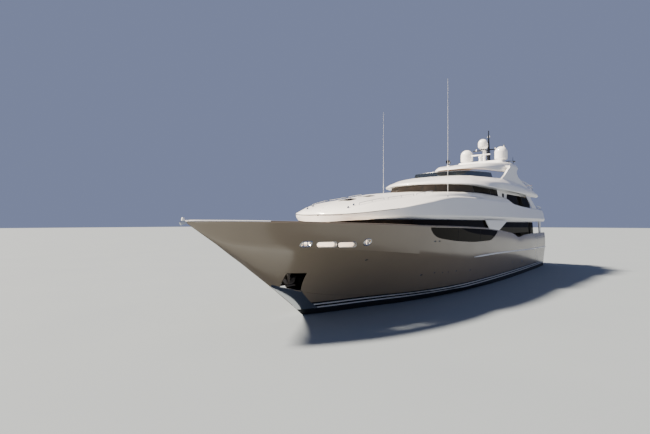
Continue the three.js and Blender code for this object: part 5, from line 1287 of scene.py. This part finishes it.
hardtop.turned([(0.11, -0.18), (0.11, -0.02), (0.09, 0.0), (0.0, 0.0)], (-4.50, -0.60, 8.96), 24)
fit(hardtop.piece("hardtop_moulding", white_topcoat, beige_underside, crease=28), "gloss_white", "hardtop")

# Satellite domes
# Gelcoated glass-fibre radomes of two sizes, each a cap on a slightly tapering drum over a flanged
# foot, joined at a fine seam where the cap lifts off.
def dome(name, node_name, centre, radius, height):
    """A radome: its foot, its drum up to the seam, and its round cap."""
    seam, groove = height - radius, radius - 0.008
    foot = [(0.0, 0.0), (0.55, 0.0), (0.55, 0.05), (0.80, 0.10), (0.97, 0.20), (1.0, 0.28 * height)]
    profile = [(radius * share, z) for share, z in foot]
    profile += [(radius, seam - 0.012), (groove, seam - 0.008), (groove, seam - 0.002)]
    profile += [(radius * cos(t), seam + radius * sin(t)) for t in np.linspace(0.0, pi / 2, 13)]
    fit(Form().turned(profile, centre, 40).piece(name, white_topcoat), "gloss_white", node_name)


dome("satellite_dome_port", "radome_port", (-11.1, 1.58, 9.85), 0.55, 1.33)
dome("satellite_dome_starboard", "radome_starboard", (-11.1, -1.55, 9.85), 0.55, 1.33)
dome("satellite_dome_middle", "middle_radome", (-11.0, 0.0, 11.08), 0.43, 0.95)

# Mast
# A welded aluminium aerofoil mast, painted black, with spreaders for aerials and lights, and a
# bracket forward that carries the middle dome on a short white column.

# Satin black paint hides soot and shows only a soft highlight along the mast
black_mast_paint = sprayed_topcoat("satin black mast paint", "#17191b", "#222528")
MAST_X, SPREADER_Z = -12.60, 11.25
MAST = [
    # z, half length, half width
    (9.85, 0.26, 0.17), (10.6, 0.23, 0.15), (11.4, 0.18, 0.11), (12.4, 0.09, 0.06), (13.0, 0.045, 0.045),
]
SPREADER = [
    # y, half width, rise
    (1.50, 0.04, -0.01), (0.9, 0.07, 0.0), (0.0, 0.10, 0.0), (-0.9, 0.07, 0.0), (-1.50, 0.04, -0.01),
]
mast_rings, spreader_rings = [], []
for z, long_half, wide_half in MAST:
    ring = []
    for a in [2 * pi * k / 20 for k in range(20)]:
        taper = 1 if cos(a) > 0 else 0.8
        ring.append((MAST_X + long_half * cos(a), wide_half * sin(a) * taper, z))
    mast_rings.append(ring)
for y, wide, rise in SPREADER:
    z = SPREADER_Z + 0.02 + rise
    ends = [(MAST_X + wide, y, z), (MAST_X, y, z + 0.05), (MAST_X - wide, y, z), (MAST_X, y, z - 0.06)]
    spreader_rings.append(ends)
mast = Form().loft(mast_rings).loft(spreader_rings)
mast.tube([(MAST_X, -0.14, 12.45), (MAST_X, 0.14, 12.45)], 0.02, 10)
mast.block((-12.55, -0.21, 10.99), (-10.78, 0.21, 11.06), 0, 0.10)
mast.tube([(-12.40, 0, 10.45), (-11.3, 0, 10.99)], 0.045, 10)
fit(mast.piece("mast", black_mast_paint, crease=30, bevel=0.006), "dark_paint", "mast")
aloft = Form()
aloft.turned([(0.0, -0.08), (0.17, -0.07), (0.20, 0.0), (0.20, 0.02), (0.0, 0.02)], (-11.0, 0, 11.06), 24)
column = [(0.0, 0.0), (0.20, 0.0), (0.17, 0.05), (0.13, 0.12), (0.13, 1.05), (0.16, 1.14), (0.0, 1.14)]
aloft.turned(column, (-11.36, 0, 9.85), 24)
DOMED_AERIALS = [
    # y, height, radius
    (1.40, 0.24, 0.05), (-1.16, 0.16, 0.05), (0.62, 0.14, 0.045), (-0.62, 0.14, 0.045),
]
for y, height, radius in DOMED_AERIALS:
    profile = [(0.0, 0.0), (radius * 1.3, 0.0), (radius, 0.03), (radius * 0.8, height * 0.8)]
    profile += [(radius * 0.3, height), (0.0, height)]
    aloft.turned(profile, (MAST_X, y, SPREADER_Z + 0.03), 16)
for y, height in ((0.11, 0.20), (-0.11, 0.14)):
    spike = [(0.0, 0.0), (0.03, 0.0), (0.014, 0.05), (0.008, height), (0.0, height)]
    aloft.turned(spike, (MAST_X, y, 12.455), 12)
fit(aloft.piece("mast_aerials", white_topcoat), "gloss_white")
folded = Form()
folded.tube([(-9.70, 2.42, 9.56), (-10.4, 2.42, 9.70), (-12.1, 2.42, 9.86)], [0.03, 0.035, 0.035], 10)
folded.tube([(-11.95, 2.42, 9.84), (-12.30, 2.42, 9.87)], 0.075, 14)
folded.tube([(-11.70, 2.42, 9.80), (-11.70, 2.42, 10.20)], [0.022, 0.012], 8)
for x, z in ((-10.5, 9.68), (-11.9, 9.82)):
    folded.tube([(x, 2.38, z - 0.18), (x, 2.42, z)], 0.03, 8)
folded.tube([(MAST_X, 1.32, 11.53), (MAST_X, 1.48, 11.55)], 0.03, 8)
fit(folded.piece("folded_aerial", black_mast_paint), "dark_paint")
lights = Form()
lantern = [(0.0, 0.0), (0.05, 0.0), (0.05, 0.02), (0.042, 0.03), (0.042, 0.09), (0.05, 0.10), (0.0, 0.13)]
for x, z in ((MAST_X + 0.21, 10.9), (MAST_X + 0.13, 11.9)):
    lights.turned(lantern, (x, 0, z), 20)
lights.turned([(0.0, 0.0), (0.04, 0.0), (0.04, 0.09), (0.02, 0.12), (0.0, 0.12)], (MAST_X, 0, 12.98), 16)
fit(lights.piece("navigation_lights", privacy_glass), "tinted_glass")

# Radar
# An open-array scanner: a flat glass-fibre bar, sealed and sprayed white, that turns on the gearbox
# of its pedestal.
RADAR_X, BAR_Z, BAR_MIDDLE = -10.35, 10.42, 0.055
gearbox = [
    (0.0, 0.0), (0.20, 0.0), (0.20, 0.03), (0.15, 0.08), (0.13, 0.30), (0.17, 0.34), (0.18, 0.46),
    (0.14, 0.505), (0.0, 0.505),
]
pedestal = Form().turned(gearbox, (RADAR_X, 0, 9.85), 28)
fit(pedestal.piece("radar_gearbox", white_topcoat, bevel=0.004), "gloss_white", "radar_pedestal")
bar = ring_of([(-0.06, 0.0), (0.06, 0.0), (0.045, 0.11), (-0.045, 0.11)], 0.03, 5)
bar_rings = []
for y, grow in ((-0.85, 0.7), (-0.82, 1.0), (0.82, 1.0), (0.85, 0.7)):
    middle = BAR_Z + BAR_MIDDLE
    bar_rings.append([(RADAR_X + u * grow, y, middle + (v - BAR_MIDDLE) * grow) for u, v in bar])
scanner = Form().loft(bar_rings)
boss = [(0.0, -0.055), (0.06, -0.055), (0.07, -0.02), (0.07, 0.02), (0.0, 0.02)]
scanner.turned(boss, (RADAR_X, 0, BAR_Z), 20)
fit(scanner.piece("radar_bar", white_topcoat), "gloss_white", "radar_scanner", body="radar_scanner")

# Searchlight
# A black-painted aluminium drum with a dark lens set into its fore end, hung in a yoke that pans on
# a short post on the hardtop.
LAMP_X, LAMP_Y, LAMP_Z = -4.5, -0.6, 9.23
base = [(0.0, 0.0), (0.08, 0.0), (0.08, 0.02), (0.05, 0.04), (0.05, 0.12), (0.0, 0.12)]
lamp = Form().turned(base, (LAMP_X, LAMP_Y, 8.9603), 20)
for y in (-0.155, 0.155):
    yoke_y = LAMP_Y + y
    yoke_rings = []
    for shift, z in ((-0.008, 9.07), (-0.008, 9.24), (0.008, 9.24), (0.008, 9.07)):
        yoke_rings.append([(LAMP_X - 0.03, yoke_y + shift, z), (LAMP_X + 0.03, yoke_y + shift, z)])
    lamp.loft(yoke_rings, ends=False)
lamp.block((LAMP_X - 0.03, -0.76, 9.055), (LAMP_X + 0.03, -0.44, 9.075))
drum = [
    (0.0, -0.12), (0.09, -0.115), (0.125, -0.08), (0.14, 0.0), (0.145, 0.14), (0.15, 0.155), (0.135, 0.155),
    (0.12, 0.10), (0.0, 0.09),
]
lamp_glass = [(0.128, 0.135), (0.128, 0.142), (0.0, 0.142), (0.0, 0.135)]
lamp.turned(drum, (LAMP_X, LAMP_Y, LAMP_Z), 28, axis="x")
lamp.turned(lamp_glass, (LAMP_X, LAMP_Y, LAMP_Z), 28, 1, axis="x")
lamp = lamp.piece("searchlight_drum", black_mast_paint, privacy_glass)
fit(lamp, "dark_paint", "searchlight", body="searchlight")

# Whip aerials
# Tapered white glass-fibre whips in polished stainless ferrules, stepped on the shoulders of the
# upper moulding.
for name, x, y, foot in (("port", 4.9, 3.3, 5.76), ("starboard", 1.0, -3.4, 5.92)):
    path = [(x, y, z) for z in (foot - 0.02, foot + 0.30, foot + 2.4, 12.6)]
    ferrule = [(0.0, 0.0), (0.03, 0.0), (0.03, 0.03), (0.024, 0.12), (0.0, 0.12)]
    whip = Form().tube(path, [0.015, 0.013, 0.008, 0.004], 8)
    whip.turned(ferrule, (x, y, foot - 0.02), 16, 1)
    fit(whip.piece("whip_aerial_" + name, white_topcoat, polished_stainless), "gloss_white", "whip_" + name)

# Rails and stairs
# Polished stainless tube, welded to stanchions that are bolted down: a top rail and one or two
# lighter tubes between. Teak stairs join the three decks aft.
def rail(form, path, height, spacing, middles=(0.5,)):
    """A guard rail over a path of deck points: a top tube, lighter tubes between, and stanchions."""
    path = [Vector(p) for p in path]
    up = Vector((0, 0, 1))
    form.tube([p + up * height for p in path], 0.021, 8)
    for share in middles:
        form.tube([p + up * height * share for p in path], 0.010, 6)
    for a, b in zip(path, path[1:]):
        count = max(1, round((b - a).length / spacing))
        for k in range(count + 1):
            foot = a.lerp(b, k / count)
            form.tube([foot, foot + up * height], 0.016, 8)
            form.turned([(0.0, 0.0), (0.04, 0.0), (0.035, 0.012), (0.0, 0.012)], foot, 12)


def coaming_at(x):
    """Middle of the sundeck coaming's top at x, on the port side."""
    s = row_at(SUNDECK_COLUMNS, SUNDECK, x, blunt=True)
    return Vector((x, s["top_y"] - 0.06, s["top_z"] - 0.002))


def bulwark_at(x):
    """Middle of the upper deck bulwark's top at x, on the port side."""
    top = moulding_half(x)[-1]
    return Vector((x, 0.5 * (top[0] + inner_y(x)), top[1] - 0.002))


rails = Form()
rail(rails, [coaming_at(x) for x in (-11.9, -13.4, -14.9, -16.3)], 0.42, 0.95)
rail(rails, [bulwark_at(x) for x in (-16.35, -17.3, -18.25)], 0.34, 0.95)
rails.mirrored()
ACROSS, ROUND_WELLS = (0.33, 0.66), (0.5,)
DECK_RAILS = [
    # floor, (x, y) of its corners, height, spacing of the stanchions, heights of the lighter tubes
    (UPPER_FLOOR, [(-18.28, 3.28), (-18.28, -3.28)], 1.00, 1.1, ACROSS),
    (6.97, [(-16.40, 2.95), (-16.40, -2.95)], 0.98, 1.0, ACROSS),
    (UPPER_FLOOR, [(-14.54, 1.66), (-14.54, 2.60), (-16.66, 2.60)], 0.95, 1.0, ROUND_WELLS),
    (UPPER_FLOOR, [(-14.54, 1.66), (-16.66, 1.66)], 0.95, 1.0, ROUND_WELLS),
    (WELL_FLOOR, [(-14.54, -1.64), (-14.54, -2.56)], 0.95, 1.0, ROUND_WELLS),
    (WELL_FLOOR, [(-14.54, -1.64), (-16.34, -1.64)], 0.95, 0.9, ROUND_WELLS),
]
for floor, corners, height, spacing, middles in DECK_RAILS:
    rail(rails, [(x, y, floor) for x, y in corners], height, spacing, middles)
FLIGHTS = [
    # foot x, foot z, head x, head z, the two half breadths
    (-17.25, MAIN_FLOOR, -14.80, 4.68, (1.78, 2.47)),
    (-16.95, UPPER_FLOOR, -14.80, 6.88, (-2.45, -1.75)),
]
for x0, z0, x1, z1, sides in FLIGHTS:
    for y in sides:
        flight = [(x0 + 0.15, y, z0 + 0.16), (x0 + 0.55 * (x1 - x0), y, z0 + 0.55 * (z1 - z0))]
        rail(rails, flight, 0.85, 0.8, ())
GRAB_RAIL = [(-18.18, 0.62), (-18.18, 1.75), (-17.6, 2.6), (-16.9, 3.0), (-16.9, 2.2)]
for side in (1, -1):
    grab = [(x, side * 2.52, z) for x, z in GRAB_RAIL]
    rails.tube(rounded(grab, [0.15, 0.3, 0.15], 5), 0.019, 8)
fit(rails.piece("guard_rails", polished_stainless), "polished_steel")
refinish(margin_teak, "aft_stair", "sun_stair")

# Coachroof fittings
# Low grab rails along both shoulders of the coachroof, two flush hatches in black glass, and the
# seam where the two halves of the moulding meet at the nose.
def roof_z(x, y):
    """Height of the coachroof at x and half breadth y."""
    half = moulding_half(x)
    top = max(range(len(half)), key=lambda k: half[k][0])
    ys, zs = zip(*reversed(half[top:]))
    return float(np.interp(y, ys, zs))


grabs = Form()
for x0, x1 in ((11.3, 9.6), (9.3, 7.2), (6.9, 5.2)):
    path = []
    for x in np.linspace(x0, x1, 7):
        y = 0.82 * row_at(MOULDING_COLUMNS, MOULDING, x, blunt=True)["upper_y"]
        path.append((x, y, roof_z(x, y) + 0.09))
    fore_foot, middle_foot, aft_foot = [(x, y, z - 0.10) for x, y, z in (path[0], path[3], path[-1])]
    grabs.tube([fore_foot] + path + [aft_foot], 0.014, 8)
    grabs.tube([middle_foot, path[3]], 0.012, 8)
cleat = [(0.0, -0.01), (0.05, -0.01), (0.05, 0.06), (0.03, 0.09), (0.0, 0.09)]
for x in (11.9, 11.45):
    grabs.turned(cleat, (x, 1.3, roof_z(x, 1.3)), 16)
fit(grabs.mirrored().piece("coachroof_grab_rails", polished_stainless), "polished_steel")
hatches = Form()
for x in (10.2, 8.4):
    for half, lift, mark in ((0.38, 0.014, 1), (0.33, 0.022, 0)):
        rows = []
        for v in np.linspace(-half, half, 13):
            reach = half - 0.10 * max(0, abs(v) / half - 0.8) ** 2 / 0.04
            steps = [x + reach * k for k in (-1, -0.5, 0, 0.5, 1)]
            upper = [(u, v, roof_z(u, abs(v)) + lift) for u in steps]
            rows.append(upper + [(u, v, z - 0.05) for u, _, z in upper[::-1]])
        hatches.loft(rows, mark)
NOSE_SEAM = [
    # x, z
    (12.40, 4.425), (12.585, 4.52), (12.603, 4.64), (12.59, 4.70), (12.56, 4.745), (12.45, 4.852),
    (12.15, 5.002),
]
hatches.tube([(x, 0.0, z) for x, z in NOSE_SEAM], 0.006, 6, 1)
stud = [(0.0, -0.02), (0.05, -0.02), (0.05, 0.012), (0.0, 0.02)]
hatches.turned(stud, (12.585, 0.0, 4.62), 16, 1, axis="x")
fit(hatches.piece("coachroof_hatches", privacy_glass, black_gasket_and_shade), "tinted_glass")

# Deck seating
# White moulded lockers with loose cushions of foam in woven acrylic canvas, piped at the seams,
# and solid teak tables on stainless pedestals.

# The canvas is matt, with a pale bloom of fine fibres where it turns away from the eye
canvas, shader = surface(
    "woven acrylic canvas", "#d9d2c4", IOR=1.45, Roughness=0.85, Sheen_Weight=0.4, Sheen_Roughness=0.5
)
place = node(canvas, "ShaderNodeTexCoord").outputs["Object"]
# Real threads are 0.5 mm apart, far too fine for a view of the yacht: drawn 16 mm apart
thread = {"Vector": place, "Scale": 1 / 0.05, "Distortion": 0.4}
warp = node(canvas, "ShaderNodeTexWave", thread, bands_direction="X")
weft = node(canvas, "ShaderNodeTexWave", thread, bands_direction="Y")
crossed = {0: warp.outputs["Fac"], 1: weft.outputs["Fac"]}
weave = node(canvas, "ShaderNodeMath", crossed, operation="MULTIPLY")
tone = node(canvas, "ShaderNodeMix", {"Factor": weave.outputs[0]}, data_type="RGBA")
tone.inputs["A"].default_value, tone.inputs["B"].default_value = srgb("#cdc5b5"), srgb("#e2dccf")
bump = node(canvas, "ShaderNodeBump", {"Height": weave.outputs[0], "Distance": 0.002})
canvas.node_tree.links.new(tone.outputs["Result"], shader.inputs["Base Color"])
canvas.node_tree.links.new(bump.outputs["Normal"], shader.inputs["Normal"])


def cushion(name, low, high, puff=0.14, steps=9, pull_in=0.035, waist=0.02):
    """A filled cushion in the box between two corners: crowned faces, sides that pull in between the
    corners, and piping round the middle of its edge."""
    low, high = Vector(low), Vector(high)
    size, centre = (high - low) / 2, (high + low) / 2
    thin = min(range(3), key=lambda k: size[k])
    long, short = [k for k in range(3) if k != thin]
    grid = [sin(pi / 2 * t) for t in np.linspace(-1, 1, steps)]
    cover, corners = bmesh.new(), {}

    def placed(across, along, up):
        """A point given in half sizes from the cushion's middle."""
        p = [0.0, 0.0, 0.0]
        p[long] = centre[long] + size[long] * across
        p[short] = centre[short] + size[short] * along
        p[thin] = centre[thin] + size[thin] * up
        return p

    def corner_at(u, v, w):
        """The corner at a place of the cover, made at its first use."""
        key = (round(u, 6), round(v, 6), round(w, 6))
        if key not in corners:
            pull = 1 - pull_in * (1 - v * v) - waist * w * w
            press = 1 - pull_in * (1 - u * u) - waist * w * w
            crown = (1 - puff) + puff * (1 - u**4) * (1 - v**4)
            ease = 1 - 0.25 * max(0, abs(u) - 0.93) / 0.07 - 0.25 * max(0, abs(v) - 0.93) / 0.07
            corners[key] = cover.verts.new(placed(u * pull, v * press, w * crown * ease))
        return corners[key]

    def face(*places):
        """A face of the cover between the corners at its places."""
        cover.faces.new([corner_at(*place) for place in places])

    for w in (-1.0, 1.0):
        for a, b in zip(grid, grid[1:]):
            for c, d in zip(grid, grid[1:]):
                face((a, c, w), (b, c, w), (b, d, w), (a, d, w))
    edge = [(u, -1.0) for u in grid[:-1]] + [(1.0, v) for v in grid[:-1]]
    edge += [(-u, -v) for u, v in edge]
    for (a, b), (c, d) in zip(edge, edge[1:] + edge[:1]):
        face((a, b, -1.0), (c, d, -1.0), (c, d, 1.0), (a, b, 1.0))
    bmesh.ops.recalc_face_normals(cover, faces=cover.faces)
    rims = [e for e in cover.edges if e.calc_face_angle(0) > radians(50)]
    ease = min(size) * 0.45
    bmesh.ops.bevel(cover, geom=rims, offset=ease, segments=3, affect="EDGES", clamp_overlap=True)
    mesh = bpy.data.meshes.new(name)
    cover.to_mesh(mesh)
    cover.free()
    form = Form().add([v.co for v in mesh.vertices], [tuple(p.vertices) for p in mesh.polygons])
    bpy.data.meshes.remove(mesh)
    piping = []
    for u, v in edge + edge[:1]:
        pull, press = 1 - pull_in * (1 - v * v), 1 - pull_in * (1 - u * u)
        piping.append(placed(u * pull * 1.002, v * press * 1.002, 0))
    form.tube(piping, 0.007, 5)
    made = fit(form.piece(name, canvas, crease=75), "gloss_white")
    return made


SEATS = [
    # name, fore x, aft x, from y, to y, floor, where its back is, cushions
    ("aft_sofa", -17.15, -18.00, -2.20, 1.40, MAIN_FLOOR, "aft", 3),
    ("upper_sofa", -17.30, -18.10, -2.40, 1.30, UPPER_FLOOR, "aft", 3),
    ("sundeck_sofa", -4.90, -5.75, -2.30, 2.30, WELL_FLOOR, "fore", 4),
    ("sun_pad", -13.20, -14.35, -1.40, 1.90, WELL_FLOOR, "none", 2),
]
PLINTH_TOP, BACK_THICK, BACK_TOP, BESIDE_BACK = 0.30, 0.12, 0.72, 0.30
for name, fore, aft, y0, y1, floor, back, count in SEATS:
    locker = Form().block((aft, y0, floor + 0.004), (fore, y1, floor + PLINTH_TOP), 0, 0.05)
    backrest = {"aft": (aft, aft + BACK_THICK), "fore": (fore - BACK_THICK, fore)}.get(back)
    if backrest:
        locker.block((backrest[0], y0, floor + 0.25), (backrest[1], y1, floor + BACK_TOP), 0, 0.03)
    fit(locker.piece(name + "_locker", white_topcoat, bevel=0.012), "gloss_white")
    seat_aft = aft + (BESIDE_BACK if back == "aft" else 0.01)
    seat_fore = fore - (BESIDE_BACK if back == "fore" else 0.01)
    width = (y1 - y0) / count
    for k in range(count):
        left, right = y0 + width * k + 0.006, y0 + width * (k + 1) - 0.006
        cushion(f"{name}_seat_{k + 1}", (seat_aft, left, floor + 0.302), (seat_fore, right, floor + 0.44))
        if backrest:
            near, far = (aft + 0.124, aft + 0.29) if back == "aft" else (fore - 0.29, fore - 0.124)
            cushion(f"{name}_back_{k + 1}", (near, left, floor + 0.34), (far, right, floor + 0.80))
TABLES = [
    # x, y, half length, half width, floor
    (-16.35, -0.55, 0.42, 1.05, MAIN_FLOOR), (-16.35, -0.60, 0.45, 1.10, UPPER_FLOOR),
    (-6.75, 0.0, 0.50, 1.20, WELL_FLOOR),
]
TABLE_LEG = [(0.0, 0.0), (0.20, 0.0), (0.19, 0.02), (0.05, 0.04), (0.045, 0.66), (0.14, 0.70), (0.0, 0.70)]
SEAT_LEG = [(0.0, 0.0), (0.19, 0.0), (0.18, 0.02), (0.05, 0.04), (0.045, 0.46), (0.16, 0.50), (0.0, 0.50)]
tables, chairs = Form(), Form()
for x, y, half_x, half_y, floor in TABLES:
    corners = [(x + u * half_x, y + v * half_y) for u, v in ((-1, -1), (1, -1), (1, 1), (-1, 1))]
    top = ring_of(corners, 0.16)
    tables.loft([[(u, v, floor + h) for u, v in top] for h in (0.70, 0.735)])
    for v in (y - half_y / 2, y + half_y / 2):
        tables.turned(TABLE_LEG, (x, v, floor), 20, 1)
for y in (-0.5, 0.5):
    chairs.turned(SEAT_LEG, (-3.35, y, WELL_FLOOR), 20)
fit(tables.piece("deck_tables", margin_teak, polished_stainless, bevel=0.006), "teak")
fit(chairs.piece("helm_seat_pedestals", polished_stainless), "polished_steel")
for side, y in (("port", 0.5), ("starboard", -0.5)):
    cushion("helm_seat_" + side, (-3.60, y - 0.26, 7.452), (-3.10, y + 0.26, 7.57))
    cushion("helm_back_" + side, (-3.70, y - 0.26, 7.50), (-3.60, y + 0.26, 8.02))

# Running gear and machinery
# Nickel-aluminium-bronze propellers with their shafts; rudders, fins and brackets under the same
# bottom paint as the hull; diesel engines in grey enamel.

# Bronze is ground bright and then tarnishes brown in small patches; the enamel's soft orange peel is
# drawn 20 mm coarse, as the real one is too fine to show
bronze = mottled(
    "nickel aluminium bronze", "#a8874b", "#8a6a3a", "#c09c58", 0.05, 4.0, Metallic=1.0, Roughness=0.32
)
engine_enamel = fine_grained("grey engine enamel", "#6a7076", 0.02, 0.001, IOR=1.5, Roughness=0.4)
refinish(bronze, *both("propeller"))
refinish(bottom_paint, *both("rudder"), *both("stabiliser_fin"), *both("shaft_bracket"))
refinish(engine_enamel, *both("engine"))
refinish(warm_grey_topcoat, "garage_door")

# Ground, light and camera
# A plain pale ground lies at the height of the waterline; a soft key from starboard, ahead and
# above, and a pale surround light the yacht; the camera stands 4.25 m up, off the port bow.
ground_finish = mottled(
    "pale matt ground", "#7f878e", "#7c848c", "#828a90", 6.0, 4.0, IOR=1.45, Roughness=0.9
)
reach = 400
corners = [(u * reach, v * reach, 0) for u, v in ((-1, -1), (1, -1), (1, 1), (-1, 1))]
ground = Form().add(corners, [(0, 1, 2, 3)]).piece("ground", ground_finish)

surround = bpy.data.worlds.new("pale surround")
bpy.context.scene.world = surround
surround.use_nodes = True
background = surround.node_tree.nodes["Background"]
background.inputs["Color"].default_value = srgb("#b6c4f2")
background.inputs["Strength"].default_value = 0.42

key = bpy.data.lights.new("key", "SUN")
key.energy = 17.0
key.angle = radians(7)
key.color = srgb("#fff1dc")[:3]
key_lamp = bpy.data.objects.new("key", key)
key_lamp.rotation_euler = Vector((0.45, -0.60, 0.80)).to_track_quat("Z", "Y").to_euler()
bpy.context.collection.objects.link(key_lamp)

FOCAL_PIXELS, FRAME_PIXELS, HORIZON_BELOW_MIDDLE = 410, 650, 6
lens = bpy.data.cameras.new("camera")
lens.sensor_width = 36.0
lens.lens = FOCAL_PIXELS / FRAME_PIXELS * lens.sensor_width
lens.shift_y = HORIZON_BELOW_MIDDLE / FRAME_PIXELS
lens.clip_end = 1500
camera = bpy.data.objects.new("camera", lens)
camera.location = (27.71, 12.90, 4.25)
camera.rotation_euler = Vector((0.7716, 0.6361, 0)).to_track_quat("Z", "Y").to_euler()
bpy.context.collection.objects.link(camera)
bpy.context.scene.camera = camera
